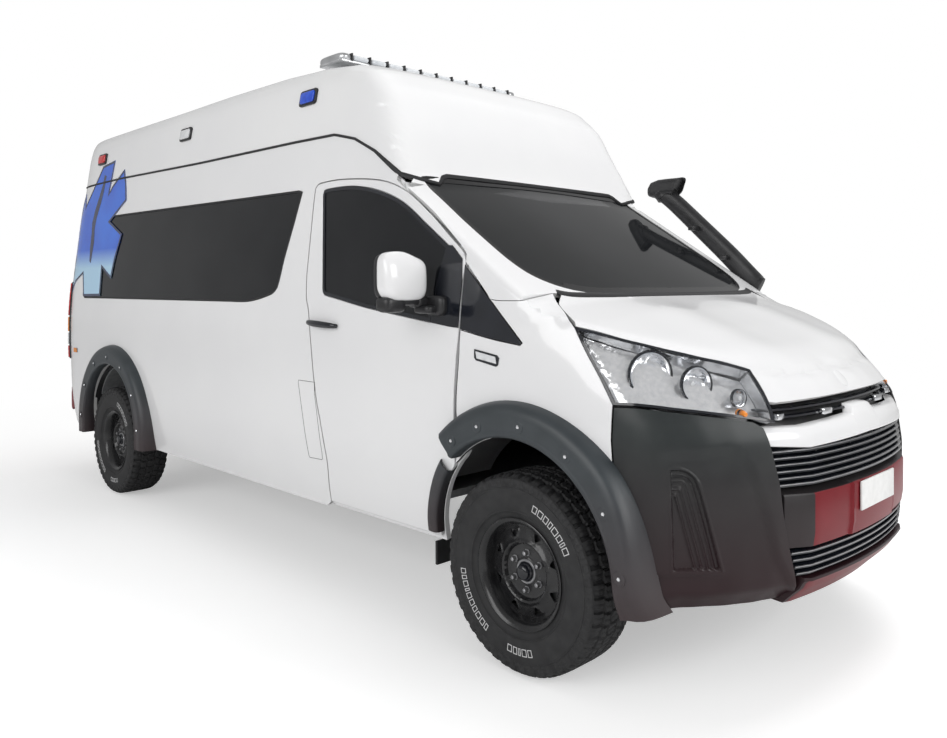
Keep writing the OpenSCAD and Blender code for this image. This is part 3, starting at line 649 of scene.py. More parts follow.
PAINT = finish_mat("paint_white", (.80, .80, .81), (.84, .84, .845), 1.2, (.16, .22), coat=.6, bump=.03,
                   bump_scale=60)
MOULD = finish_mat("roof_white", (.81, .81, .82), (.85, .85, .85), 1.4, (.2, .28), coat=.4, bump=.06,
                   bump_scale=90)
INNER = finish_mat("inner_white", (.55, .55, .55), (.63, .63, .62), 5, (.45, .6), bump=.1)
RUBBER = finish_mat("rubber_black", (.010, .010, .011), (.022, .022, .024), 14, (.5, .7), bump=.15)
PLASTIC = finish_mat("plastic_black", (.012, .012, .013), (.022, .022, .024), 20, (.3, .42), bump=.12,
                     bump_scale=500)
GLOSS = finish_mat("gloss_black", (.006, .007, .010), (.012, .014, .020), 6, (.08, .14), coat=.3)
# Bumper charcoal. Its low colour is a painted reflection of a red floor: dark red below 0.42 m, fading out by
# 0.95 m.
CHAR = finish_mat("bumper_charcoal", (.022, .026, .027), (.029, .034, .034), 9, (.30, .40), bump=.10,
                  bump_scale=420, spec=.32, low=((.021, .007, .009), .42, .95))
# Flare charcoal. Its low colour is a painted reflection of a red floor: reddish below 0.35 m, fading out by
# 0.80 m.
FLARE = finish_mat("flare_charcoal", (.030, .037, .042), (.042, .050, .056), 9, (.36, .46), bump=.12,
                   bump_scale=420, low=((.040, .026, .028), .35, .80))
# Maroon standing for a red floor's reflection on the black bumper: a painted reflection, not the bumper's own
# colour.
RED_FLOOR_REFLECTION = finish_mat("bumper_maroon", (.155, .009, .014), (.190, .014, .020), 6, (.26, .36), spec=.25,
                    bump=.04)
TYRE = finish_mat("tyre_black", (.012, .012, .013), (.026, .026, .027), 26, (.62, .8), bump=.25,
                  bump_scale=260)
MARK = finish_mat("tyre_mark_white", (.55, .55, .56), (.72, .72, .72), 60, (.5, .65), bump=.1)
WHEEL = finish_mat("wheel_black", (.008, .008, .009), (.016, .016, .017), 18, (.20, .32), coat=.2, bump=.04)
STEEL = finish_mat("steel_grey", (.28, .28, .29), (.40, .40, .41), 30, (.28, .42), metal=.9, bump=.06)
CHROME = finish_mat("chrome", (.74, .75, .77), (.86, .87, .88), 12, (.05, .12), metal=1.0)
BRIGHT = finish_mat("bright_trim", (.62, .63, .65), (.78, .79, .80), 20, (.12, .22), metal=1.0)
REFLECT = finish_mat("lamp_reflector", (.80, .81, .83), (.95, .95, .96), 60, (.08, .22), metal=.62, bump=.5,
                     bump_scale=70)
TINT = finish_mat("tinted_glass", (.008, .009, .011), (.016, .017, .019), 2.2, (.02, .05), spec=.40,
                  alpha=.88)
SCREEN = finish_mat("screen_glass", (.008, .009, .010), (.016, .017, .019), 1.5, (.02, .05), spec=.28,
                    alpha=.86)
FRIT = finish_mat("glass_frit", (.006, .006, .007), (.011, .011, .012), 30, (.10, .18))
BLUE = finish_mat("lamp_blue", (.010, .045, .42), (.015, .09, .62), 40, (.06, .14), coat=.4, glow=.12)
RED = finish_mat("lamp_red", (.42, .012, .016), (.58, .02, .02), 40, (.08, .16), coat=.4, glow=.10)
AMBER = finish_mat("lamp_amber", (.72, .20, .015), (.86, .30, .03), 40, (.1, .2), coat=.3)
CLEAR_WHITE = finish_mat("lamp_white", (.62, .63, .65), (.78, .79, .80), 30, (.08, .18), coat=.4)
BARTOP = finish_mat("light_bar_lens", (.60, .63, .66), (.80, .82, .84), 24, (.08, .2), coat=.5)
SILVER = finish_mat("bar_silver", (.50, .51, .52), (.62, .63, .64), 16, (.25, .35), metal=.85)
BLACKFRAME = finish_mat("frame_black", (.018, .018, .019), (.035, .034, .034), 10, (.5, .65), bump=.15)
FLOORING = finish_mat("floor_grey", (.16, .165, .17), (.22, .225, .23), 30, (.5, .65), bump=.2,
                      bump_scale=700)
ENGINE = finish_mat("engine_grey", (.10, .10, .105), (.18, .18, .185), 14, (.45, .6), metal=.4, bump=.25,
                    bump_scale=60)
PIPE = finish_mat("exhaust_steel", (.25, .23, .21), (.36, .34, .32), 12, (.35, .55), metal=.9, bump=.1)
DASH = finish_mat("interior_grey", (.055, .057, .06), (.08, .082, .085), 20, (.5, .65), bump=.25,
                  bump_scale=600)
LINING = finish_mat("lining", (.34, .34, .34), (.42, .42, .41), 8, (.5, .65), bump=.12)
FABRIC = finish_mat("seat_fabric", (.045, .048, .055), (.085, .09, .10), 120, (.8, .95), bump=.5,
                    bump_scale=420, kind="weave")
VINYL = finish_mat("bench_vinyl", (.030, .075, .20), (.045, .10, .26), 14, (.38, .5), bump=.25,
                   bump_scale=500, kind="cells")
NAVY_FILM = finish_mat("film_navy", (.010, .016, .06), (.02, .035, .11), 8, (.2, .3), coat=.4)
PLATE = finish_mat("plate_white", (.78, .78, .77), (.86, .86, .85), 30, (.3, .4), bump=.03)
MIRRORED = finish_mat("mirror_glass", (.55, .57, .60), (.62, .64, .66), 3, (.02, .05), metal=1.0)


def lens_mat():
    """Clear lamp cover: mostly see-through, with a glossy face."""
    m = bpy.data.materials.new("lamp_cover")
    m.use_nodes = True
    nt = m.node_tree
    p = nt.nodes["Principled BSDF"]
    out = nt.nodes["Material Output"]
    co = nt.nodes.new("ShaderNodeTexCoord")
    no = nt.nodes.new("ShaderNodeTexNoise")
    no.inputs["Scale"].default_value = 5
    ra = nt.nodes.new("ShaderNodeMapRange")
    ra.inputs["To Min"].default_value = .01
    ra.inputs["To Max"].default_value = .05
    nt.links.new(co.outputs["Object"], no.inputs["Vector"])
    nt.links.new(no.outputs["Fac"], ra.inputs["Value"])
    nt.links.new(ra.outputs["Result"], p.inputs["Roughness"])
    p.inputs["Base Color"].default_value = (.8, .82, .85, 1)
    tr = nt.nodes.new("ShaderNodeBsdfTransparent")
    mix = nt.nodes.new("ShaderNodeMixShader")
    fr = nt.nodes.new("ShaderNodeFresnel")
    fr.inputs["IOR"].default_value = 1.22
    nt.links.new(fr.outputs["Fac"], mix.inputs["Fac"])
    nt.links.new(tr.outputs["BSDF"], mix.inputs[1])
    nt.links.new(p.outputs["BSDF"], mix.inputs[2])
    nt.links.new(mix.outputs["Shader"], out.inputs["Surface"])
    return m


LENS = lens_mat()


def repaint(node, mat):
    """Gives a CAD node that stays in view a finished material."""
    me = frame["nodes"][node].data
    me.materials.clear()
    me.materials.append(mat)


for node, mat in {"chassis_frame": BLACKFRAME, "floor": FLOORING, "partition": LINING, "mudflaps": RUBBER,
                  "front_suspension": BLACKFRAME, "rear_axle": BLACKFRAME, "engine": ENGINE, "exhaust": PIPE,
                  "fuel_tank": PLASTIC, "knuckle_right": STEEL, "knuckle_left": STEEL}.items():
    repaint(node, mat)

# ---------------------------------------------------------------- outlines on the right side (x, z)
S = on_side
GAP = .0035


def arc(cx, cz, r, a0, a1, n=24):
    return [(cx + r * math.cos(math.radians(a)), cz + r * math.sin(math.radians(a)))
            for a in np.linspace(a0, a1, n)]


SEAM_SIDE = [(-2.79, 2.243), (-1.93, 2.243), (-.70, 2.2165), (.3875, 2.205), (.7375, 2.197), (.9075, 2.155),
             (1.0745, 2.076), (1.2205, 1.981), (1.318, 1.915)]
DOOR_REAR = [(.7775, .408), (.7795, .535), (.7745, .63), (.735, .80), (.6995, .937), (.6455, 1.288),
             (.6095, 1.40), (.5975, 1.505)]
DOOR_UP = [(.5975, 1.505), (.602, 1.70), (.6085, 1.915), (.622, 1.952), (.6645, 1.967), (.8565, 1.967),
           (1.1335, 1.935), (1.3185, 1.873), (1.4965, 1.759), (1.6325, 1.656), (1.7015, 1.605)]
DOOR_FRONT = [(1.7215, 1.587), (1.7375, 1.548), (1.7285, 1.475), (1.7215, 1.275), (1.706, 1.154),
              (1.6925, .973), (1.6925, .80), (FX - ARCH_R * .755, ARCH_Z + ARCH_R * .656)]
DOOR_ARCH = arc(FX, ARCH_Z, ARCH_R, 139, 180, 14)
DOOR_LOW = [(FX - ARCH_R, .408)]


def door_outline():
    """The front door's outline as 3D points on the right side."""
    return S(loop([DOOR_REAR, DOOR_UP, DOOR_FRONT, DOOR_ARCH[1:], [DOOR_LOW[0]]], .022))


GLASS_DOOR = S(loop([[(.7525, 1.425), (.766, 1.413), (.8095, 1.406)], [(.8095, 1.406), (1.125, 1.354),
    (1.5425, 1.303)], [(1.5425, 1.303), (1.6305, 1.613)], [(1.6305, 1.613), (1.482, 1.710), (1.310, 1.819),
                                                           (1.124, 1.888), (.92, 1.925), (.72, 1.929),
                                                           (.690, 1.922), (.6845, 1.905)],
                                                           [(.6845, 1.905), (.7465, 1.445)]], .022))
REAR_WINDOW = S(loop([[(.4975, 1.935), (.4475, 1.784), (.381, 1.601), (.344, 1.472), (.315, 1.43),
                       (.2455, 1.404), (.0505, 1.373), (-.20, 1.371)], [(-.20, 1.371), (-2.0, 1.377),
                           (-2.42, 1.377)], [(-2.4625, 1.40), (-2.462, 1.70), (-2.4525, 1.95)],
                           [(-2.43, 1.975), (-1.9, 1.977), (-.5, 1.958), (.46, 1.945)]], .03))

DOOR = door_outline()
SIDE_WAY = (-.30, -.95, .06)


def side_outline():
    """The steel side from the tail to the roof's front corner, above and behind the door opening."""
    tail_low = on_rear([(-.836, .39), (-.836, .9), (-.836, 1.5), (-.836, 1.9), (-.834, 2.235)])
    door = [tuple(p) for p in S(loop([DOOR_REAR, DOOR_UP], .022))]
    n_up = len(spline(DOOR_REAR, .022)) + len(spline(DOOR_UP, .022)) - 1
    door = door[:n_up - 1]
    door = [p for p in door if p[0] < 1.335]
    seam = S(spline(SEAM_SIDE[::-1], .03))
    seam = seam[seam[:, 0] > -2.70]
    low1 = S([(.74, .381), (RX + ARCH_R + .02, .381)])
    arch = S(arc(RX, ARCH_Z + .03, ARCH_R, 0, 180, 40))
    low2 = S([(RX - ARCH_R, .381), (-2.66, .381)])
    rear = spline(tail_low, .03)
    segs = [np.array(door), seam, rear[::-1], spline(low2[::-1], .03), arch[::-1], spline(low1[::-1], .03)]
    return thin(np.vstack(segs), .006)


BODY = side_outline()
both(panel, "body_side_panel", BODY, SIDE_WAY, t=.022, holes=[REAR_WINDOW], res=.05, gap=GAP * .5,
     mats=[PAINT, INNER], bevel=.003, slot="body_white", replaces=["body_side_right"],
     left_for=["body_side_left", "sliding_door"])

# dark graphics on the glass and rubber round the openings
def window(name, outline, way, mat, t=.005, t0=-.004, **kw):
    return panel(name, outline, way, t=t, t0=t0, gap=.004, res=.07, mats=[mat, FRIT], bevel=0, **kw)


WAY_R = (0, -1, .12)
both(window, "rear_side_glass", REAR_WINDOW, WAY_R, TINT, slot="dark_glass", replaces=["side_windows"])


def border(name, outline, way, width, mats, t0=.0005, t=.004, body="body", **kw):
    """A flat band along the inside of an outline."""
    way = unit(way)
    up = np.array([0, 0, 1.0])
    e1 = unit(np.cross(up, way))
    e2 = np.cross(way, e1)
    flat = np.column_stack([outline @ e1, outline @ e2])
    inner = shrink(flat, width)
    back = inner[:, :1] * e1 + inner[:, 1:2] * e2 + (outline @ way)[:, None] * way
    return panel(name, outline, way, t=t, t0=t0, holes=[back], res=.1, mats=mats, bevel=.001, body=body, **kw)


both(border, "rear_window_seal", REAR_WINDOW, WAY_R, .010, [RUBBER], slot="trim_black")

# ---------------------------------------------------------------- front doors
HINGE_X, HINGE_Y = FX - .405, HALF - .018
both(panel, "front_door_skin", DOOR, (0, -1, .10), t=.020, holes=[GLASS_DOOR], res=.05, gap=GAP,
     mats=[PAINT, PAINT], bevel=.003, body="door_right", slot="body_white", replaces=["front_door_right"],
     left_for=["front_door_left"])
trim_out = S(loop([[(.83, .47), (.82, .66), (.775, .86), (.70, 1.15), (.66, 1.40)],
                   [(.655, 1.46), (.66, 1.90), (.70, 1.925), (.90, 1.928), (1.13, 1.90), (1.31, 1.835),
                    (1.48, 1.72), (1.60, 1.63)], [(1.645, 1.58), (1.66, 1.50), (1.655, 1.20), (1.64, 1.0),
                                                  (1.63, .86)], [(1.55, .80), (1.50, .68), (1.51, .47)]],
                                                  .03))
trim_hole = S(loop([[(.735, 1.44), (.80, 1.42), (1.125, 1.365), (1.53, 1.315)], [(1.60, 1.585), (1.47, 1.69),
    (1.30, 1.80), (1.12, 1.87), (.92, 1.905), (.73, 1.905)]], .03))
both(panel, "front_door_lining", trim_out, (0, -1, .10), t=.024, t0=-.0215, holes=[trim_hole], res=.06,
     mats=[PAINT, DASH], bevel=.004, body="door_right", slot="interior_grey")
both(window, "front_door_glass", GLASS_DOOR, WAY_R, TINT, body="door_right", slot="dark_glass",
     replaces=["door_glass_right"], left_for=["door_glass_left"])
both(border, "front_door_seal", GLASS_DOOR, WAY_R, .016, [GLOSS], body="door_right", slot="trim_black")

# sail panels behind and ahead of the shut line
sail_door = S(loop([[(1.548, 1.300), (1.6345, 1.616)], [(1.6345, 1.616), (1.650, 1.618), (1.7175, 1.560)],
                    [(1.7245, 1.475), (1.7175, 1.283)], [(1.668, 1.286), (1.548, 1.300)]], .02))
both(panel, "sail_rear", sail_door, WAY_R, t=.006, t0=.004, res=.03, mats=[GLOSS, PLASTIC], bevel=.002,
     body="door_right", slot="trim_black")
sail_fender = S(loop([[(1.7355, 1.535), (1.90, 1.385), (2.052, 1.243)], [(2.058, 1.234), (2.050, 1.231)],
                      [(1.90, 1.249), (1.7285, 1.279)], [(1.7355, 1.475)]], .02))
both(panel, "sail_front", sail_fender, (0.1, -1, .2), t=.006, t0=.004, res=.03, mats=[GLOSS, PLASTIC],
     bevel=.002, slot="trim_black")


# door handle: a pull on two posts over a shallow dish
def on_skin(x, z, out=0.0):
    p = on_side([(x, z)])[0]
    return p + normals(p[None])[0] * out


hx = np.linspace(.650, .895, 24)
hz = np.interp(hx, [.646, .901], [1.277, 1.264])
path = on_side(np.column_stack([hx, hz]))
lift = .012 + .022 * np.sin(np.linspace(0, math.pi, 24)) ** .6
path = path + normals(path) * lift[:, None]
fr = skin_frames(path - normals(path) * lift[:, None])
wide = lambda i: .010 + .006 * math.sin(math.pi * i / 23) ** .7
sec = lambda i: [(math.cos(a) * wide(i), math.sin(a) * .008) for a in np.linspace(0, 2 * math.pi, 14,
    endpoint=False)]
both(sweep, "door_handle", path, fr, sec, [GLOSS], body="door_right", slot="trim_black", sharp=60)
dish = S([(.66 + .115 + .118 * math.cos(a), 1.271 + .026 * math.sin(a)) for a in np.linspace(0, 2 * math.pi,
    40, endpoint=False)])
both(panel, "door_handle_dish", dish, WAY_R, t=.003, t0=.0015, res=.03, mats=[PAINT], bevel=.001,
     body="door_right", slot="body_white")
for sgn, side in ((-1, "right"), (1, "left")):
    p = on_skin(.872, 1.262, .017)
    p[1] *= -sgn
    turned("door_lock_" + side, [(0, .004), (.007, .004), (.0085, 0), (.0085, -.006), (0, -.006)], p,
           (0, sgn, 0), [CHROME], seg=24, body="door_" + side, slot="steel_grey")

# hinge arms and door frame seen when a door stands open
for sgn, side in ((-1, "right"), (1, "left")):
    parts = []
    for z in (.870, 1.130):
        y0 = sgn * HINGE_Y
        parts.append(rounded(np.array([HINGE_X - .009, y0 - sgn * .012, z - .014]),
                             np.array([HINGE_X + .009, y0 - sgn * .080, z]), .003))
        parts.append(rounded(np.array([HINGE_X - .009, y0 - sgn * .068, z - .014]),
                             np.array([FX - .295, y0 - sgn * .080, z]), .003))
    joined("door_hinge_arms_" + side, parts, [BLACKFRAME], slot="frame_black")
    parts = []
    for z in (.870, 1.130):
        a = np.array([HINGE_X, sgn * HINGE_Y, z - .012])
        parts.append(rounded(a + [-.007, -.007, 0], a + [.007, .007, .080], .003))
    joined("door_hinge_pins_" + side, parts, [STEEL], slot="steel_grey")
    parts = []
    for z in (.872, 1.132):
        a = np.array([HINGE_X, sgn * HINGE_Y, z])
        parts.append(rounded(a + [-.011, -.011, 0], a + [.011, .011, .066], .005))
        parts.append(rounded(a + [-.10, -.004, .008], a + [-.005, .006, .058], .003))
    joined("door_hinge_eyes_" + side, parts, [STEEL], body="door_" + side, slot="steel_grey")

jamb_out = S(loop([[(.735, .385), (.73, .62), (.66, .92), (.60, 1.28), (.555, 1.50)],
                   [(.555, 1.50), (.56, 1.93), (.60, 2.0), (.86, 2.01), (1.14, 1.975), (1.33, 1.91),
                    (1.50, 1.79), (1.66, 1.68)], [(1.765, 1.60), (1.785, 1.50), (1.765, 1.25), (1.745, .97),
                                                  (1.745, .80), (1.70, .74)], DOOR_ARCH[1:],
                                                  [(FX - ARCH_R, .385)]], .03))
jamb_in = S(loop([[(.81, .43), (.81, .66), (.765, .85), (.69, 1.15), (.645, 1.45)],
                  [(.645, 1.50), (.65, 1.90), (.69, 1.93), (.90, 1.935), (1.13, 1.905), (1.31, 1.845),
                   (1.48, 1.735), (1.64, 1.62)], [(1.700, 1.58), (1.722, 1.50), (1.712, 1.27), (1.697, 1.15),
                                                  (1.685, .97), (1.685, .80)], arc(FX, ARCH_Z, ARCH_R + .008,
                                                      141, 176, 10), [(FX - ARCH_R - .01, .43)]], .03))
both(panel, "door_frame", jamb_out, WAY_R, t=.026, t0=-.0235, holes=[jamb_in], res=.06,
     mats=[PAINT, INNER, PAINT], bevel=.003, slot="body_white")
rs = jamb_in - normals(jamb_in) * .022
both(sweep, "door_frame_rubber", rs, skin_frames(jamb_in, True), [(-.006, 0), (-.004, .009), (.004, .009),
    (.006, 0), (.004, -.006), (-.004, -.006)], [RUBBER], closed=True, sharp=60, slot="trim_black")

# ---------------------------------------------------------------- windscreen pillars, fenders, bonnet
PILLAR_IN = snap([(1.288, -.787, 1.950), (1.36, -.793, 1.897), (1.45, -.800, 1.835), (1.60, -.815, 1.737),
                  (1.75, -.822, 1.640), (1.90, -.822, 1.545), (2.00, -.812, 1.478), (2.066, -.795, 1.425)])
PILLAR_OUT = S([(1.323, 1.884), (1.3645, 1.858), (1.4985, 1.7705), (1.6375, 1.666), (1.71, 1.608),
                (1.7375, 1.577)])
FEND_TOP = snap([(2.066, -.795, 1.425), (2.12, -.83, 1.388), (2.19, -.875, 1.347), (2.272, -.925, 1.301)])
LAMP_A = snap([(2.272, -.925, 1.299)])[0]
LAMP_B = snap([(2.717, -.506, 1.150)])[0]
LAMP_C = snap([(2.833, -.553, .981)])[0]
LAMP_D = snap([(2.449, -.944, 1.045)])[0]
LAMP_TOP = snap([LAMP_A, (2.437, -.826, 1.255), (2.588, -.684, 1.206), LAMP_B])
LAMP_LOW = snap([LAMP_D, (2.540, -.893, 1.040), (2.635, -.826, 1.031), (2.745, -.700, 1.010), LAMP_C])
ROUND = snap([(1.86, -.822, 1.570), (1.945, -.803, 1.510), (2.010, -.755, 1.467), (2.062, -.680, 1.440),
              (2.098, -.580, 1.424), (2.112, -.50, 1.417)])
ws_side = spline(np.vstack([PILLAR_IN[PILLAR_IN[:, 0] < 1.80], ROUND]), .02)
COWL = snap([(2.112, -.50, 1.418), (2.100, -.62, 1.421), (2.085, -.72, 1.423), (2.066, -.790, 1.427)])
p_out = np.vstack([ws_side, spline(COWL, .02)[1:], S(spline([(2.04, 1.395), (1.93, 1.395), (1.885, 1.40)],
                                                            .02)), S(spline([(1.885, 1.404), (1.7375, 1.548)],
                                                                .02)), spline(PILLAR_OUT[::-1], .02),
                                                                S([(1.321, 1.904)]),
                                                                snap([(1.312, -.862, 1.922),
                                                                    (1.300, -.840, 1.938),
                                                                    (1.290, -.812, 1.950)])])
p_out = thin(p_out, .008)
both(panel, "windscreen_pillar", p_out, (.30, -.75, .60), t=.02, res=.013, gap=.0005, mats=[PAINT, INNER],
     bevel=.002, slot="body_white")

f_arch = arc(FX, ARCH_Z, ARCH_R, 139.5, 0, 34)
fender = np.vstack([S(spline([(1.7285, 1.279), (1.7215, 1.16), (1.706, .985), (1.706, .80), (1.692, .735)],
                             .02)), S(f_arch[1:]),
                             S(spline([(2.4995, .56), (2.470, .70), (2.456, .83), (2.449, .93)], .02)),
                             LAMP_D[None], spline([LAMP_D, snap([(2.395, -.944, 1.13)])[0],
                                                   snap([(2.328, -.936, 1.22)])[0], LAMP_A], .02)[1:],
                                                   spline(FEND_TOP[::-1], .02)[1:],
                                                   S(spline([(2.04, 1.395), (1.93, 1.395), (1.885, 1.40)],
                                                            .02)), S(spline([(1.89, 1.395), (2.060, 1.238)],
                                                                .02)), S(spline([(2.050, 1.229),
                                                                    (1.90, 1.247), (1.735, 1.275)], .02))])
fender = thin(fender, .008)
both(panel, "fender", fender, (.22, -.90, .36), t=.014, res=.035, gap=GAP * .6, mats=[PAINT, BLACKFRAME],
     bevel=.003, slot="body_white", replaces=["front_fenders"])

# windscreen
ws_top = np.array([(1.2925, 0, 1.955), (1.2925, -.2, 1.9545), (1.2945, -.4, 1.9515), (1.290, -.60, 1.953),
                   (1.285, -.74, 1.954), (1.288, -.785, 1.950)])
ws_top = np.vstack([ws_top[::-1], (ws_top * [1, -1, 1])[1:]])
ws_low = np.array([(2.128, 0, 1.412), (2.124, -.25, 1.414), (2.112, -.5, 1.417)])
ws_low = np.vstack([(ws_low * [1, -1, 1])[::-1], ws_low[1:]])
screen = snap(np.vstack([spline(ws_top, .03), (ws_side * [1, -1, 1])[1:-1], spline(ws_low, .03),
                         ws_side[::-1][1:-1]]))
WS_WAY = (.55, 0, .84)
window("windscreen_glass", screen, WS_WAY, SCREEN, slot="dark_glass", replaces=["windscreen"])


def screen_border():
    way = unit(WS_WAY)
    e1 = unit(np.cross([0, 0, 1.0], way))
    e2 = np.cross(way, e1)
    q = np.column_stack([screen @ e1, screen @ e2])
    inner = shrink(q, .022)
    inner[:, 1] += np.where(inner[:, 1] < q[:, 1].min() + .10, .030, 0)
    inner[:, 1] -= np.where(inner[:, 1] > q[:, 1].max() - .10, .012, 0)
    back = inner[:, :1] * e1 + inner[:, 1:2] * e2 + (screen @ way)[:, None] * way
    return panel("windscreen_border", screen, WS_WAY, t=.003, t0=-.0008, holes=[back], res=.1, mats=[FRIT],
                 bevel=0, slot="dark_glass")


screen_border()

# bonnet: top, rolled front lip and the bare badge seat
cowl = spline([(2.066, -.790, 1.428), (2.10, -.72, 1.424), (2.130, -.50, 1.420), (2.145, -.25, 1.417),
               (2.148, 0, 1.415)], .03)
cowl = np.vstack([cowl, (cowl * [1, -1, 1])[::-1][1:]])
half_bonnet = np.vstack([spline(FEND_TOP[1:], .02), spline(LAMP_TOP, .02)[1:],
                         spline(snap([LAMP_B, (2.765, -.520, 1.095), (2.800, -.532, 1.045)]), .02)[1:]])
front_edge = snap(on_front([(y, 1.040) for y in np.linspace(-.53, .53, 45)]))
bonnet_line = np.vstack([half_bonnet, front_edge[1:-1], (half_bonnet * [1, -1, 1])[::-1],
                         snap(cowl)[::-1][1:-1]])
bonnet_line = thin(bonnet_line, .008)


def bonnet_shape(p, n):
    """A soft crease ahead of the lip, two broad bulges beside the middle and a dip for the badge seat."""
    y = np.abs(p[:, 1])
    x0 = 2.802 - .072 * (y / .5) ** 2 - .020 * np.exp(-(y / .10) ** 2)
    d = p[:, 0] - x0
    groove = np.exp(-(d / .011) ** 2) * .0075 * smoothstep(.52, .47, y)
    swell = .010 * np.exp(-((y - .34) / .16) ** 2) * smoothstep(2.12, 2.35, p[:, 0]) * smoothstep(2.78, 2.62,
        p[:, 0])
    lip = .006 * smoothstep(0, .03, d) * smoothstep(.54, .48, y)
    seat = .004 * np.exp(-((p[:, 1]) ** 2 + (p[:, 2] - 1.085) ** 2) / .052 ** 2)
    return p + n * (swell - groove + lip - seat)[:, None]


panel("bonnet_skin", bonnet_line, (.45, 0, .89), t=.016, res=.022, gap=GAP * .6, mats=[PAINT, INNER],
      warp=bonnet_shape, bevel=.003, body="bonnet", slot="body_white", replaces=["bonnet"])
turned("badge_seat", [(0, .0045), (.030, .0045), (.036, .003), (.0375, 0), (.0375, -.006)],
       snap([(2.83, 0, 1.088)])[0] - [.001, 0, 0], normals(snap([(2.83, 0, 1.088)]))[0], [PAINT], seg=48,
       body="bonnet", slot="body_white", sharp=40)

# firewall with its pressed ribs, and the tray and vent below the windscreen
wall_parts = [rounded(np.array([1.884, -.520, .600]), np.array([1.900, .520, .850]), .004),
              rounded(np.array([1.884, -.815, .835]), np.array([1.900, .815, 1.265]), .004)]
for y in np.linspace(-.45, .45, 5):
    wall_parts.append(rounded(np.array([1.896, y - .035, .66]), np.array([1.908, y + .035, 1.20]), .005))
wall_parts.append(rounded(np.array([1.884, -.80, 1.250]), np.array([2.03, .80, 1.268]), .004))
wall_parts.append(rounded(np.array([2.018, -.80, 1.255]), np.array([2.032, .80, 1.300]), .004))
joined("firewall_panel", wall_parts, [INNER], slot="interior_grey", replaces=["cab_front"], sharp=40)
# cowl vent
strip("cowl_panel",
      [tuple(q) for q in snap(spline([(2.062, -.77, 1.43), (2.095, -.70, 1.427), (2.122, -.50, 1.424),
                                      (2.136, -.25, 1.421), (2.139, 0, 1.419), (2.136, .25, 1.421),
                                      (2.122, .50, 1.424), (2.095, .70, 1.427), (2.062, .77, 1.43)], .03))],
                                      .034, .004, [PLASTIC], slot="trim_black")
# ---------------------------------------------------------------- high roof
X0, Z0, XR = .30, 1.90, -2.30


def roof_ray(u, th):
    """Origin and direction for the place u along the roof and the angle th across it."""
    phi = np.where(u > X0, (u - X0), np.where(u < XR, (u - XR), 0))
    ox = np.clip(u, XR, X0)
    d = np.stack([np.cos(th) * np.sin(phi), np.sin(th), np.cos(th) * np.cos(phi)], -1)
    o = np.stack([ox, np.zeros_like(u), np.full_like(u, Z0)], -1)
    return o, d


def roof_point(u, th):
    o, d = roof_ray(u, th)
    lo, hi = np.full(len(u), .05), np.full(len(u), 1.6)
    for _ in range(26):
        m = (lo + hi) / 2
        f = skin(o + d * m[:, None])
        lo, hi = np.where(f < 0, m, lo), np.where(f < 0, hi, m)
    return o + d * hi[:, None]


seam_z = lambda x: np.interp(x, [p[0] for p in SEAM_SIDE] + [1.36], [p[1] for p in SEAM_SIDE] + [1.89])
us = np.concatenate([XR - np.linspace(math.radians(64.5), 0, 16)[:-1] * 1.0, np.linspace(XR, X0, 40)[:-1],
                     X0 + np.linspace(0, math.radians(86.4), 46)])
lo, hi = np.zeros(len(us)), np.full(len(us), math.radians(96))
lower = lambda u, t: np.where(u > X0, X0 + (u - X0) * (1 + .031 * smoothstep(.955, 1, t)), u)
for _ in range(28):
    m = (lo + hi) / 2
    q = roof_point(lower(us, 1.0), m)
    up = q[:, 2] > seam_z(q[:, 0])
    lo, hi = np.where(up, m, lo), np.where(up, hi, m)
TH = lo
K = 57
ts = np.linspace(-1, 1, K)
ts = np.sign(ts) * np.abs(ts) ** .9
grid = np.stack([roof_point(lower(us, abs(t)), TH * t) for t in ts], 1)
n_u = len(us)
pts = grid.reshape(-1, 3)
nr = normals(pts)
tri = []
for i in range(n_u - 1):
    for j in range(K - 1):
        a, b_, c_, d_ = i * K + j, i * K + j + 1, (i + 1) * K + j + 1, (i + 1) * K + j
        tri += [(a, b_, c_), (a, c_, d_)]
v, fs, fm = thicken(pts, nr, np.array(tri), .024)
new_piece("high_roof_shell", v, fs, [MOULD, INNER, INNER], face_mats=fm, sharp=50, slot="roof_white",
          replaces=["high_roof"])
edge_r, edge_l, edge_f = grid[:, 0], grid[:, -1], grid[-1]
seam_path = np.vstack([edge_r, edge_f[1:-1], edge_l[::-1]])
seam_path = thin(seam_path, .012)
wid = lambda i: .0065 + .0045 * float(smoothstep(1.0, 1.25, seam_path[i][0]))
sweep("roof_seam_rubber", seam_path, skin_frames(seam_path), lambda i: [(-wid(i), -.004), (-wid(i), .003),
    (-wid(i) * .5, .006), (wid(i) * .5, .006), (wid(i), .003), (wid(i), -.004)], [RUBBER], sharp=60,
    slot="trim_black")


# ---------------------------------------------------------------- headlights
def along(line, s):
    """The point a share s of the way along a line."""
    d = np.concatenate([[0], np.cumsum(np.linalg.norm(np.diff(line, axis=0), axis=1))])
    return np.array([np.interp(s * d[-1], d, line[:, i]) for i in range(3)])


LAMP_WAY = (.66, -.72, .22)
TOP_RUN, LOW_RUN = spline(LAMP_TOP, .015), spline(LAMP_LOW, .015)
outer_run = spline([LAMP_D, snap([(2.395, -.944, 1.13)])[0], snap([(2.328, -.936, 1.22)])[0], LAMP_A], .015)
inner_run = spline(snap([LAMP_B, (2.765, -.520, 1.095), (2.800, -.532, 1.045), LAMP_C]), .015)
LAMP = snap(thin(np.vstack([TOP_RUN, inner_run[1:], LOW_RUN[::-1][1:], outer_run[1:-1]]), .006))
both(panel, "headlight_cover", LAMP, LAMP_WAY, t=.003, res=.03, gap=.003, mats=[LENS], bevel=0,
     slot="lamp_clear", replaces=["headlights"])
both(border, "headlight_border", LAMP, LAMP_WAY, .0085, [GLOSS], t0=.0016, slot="trim_black")


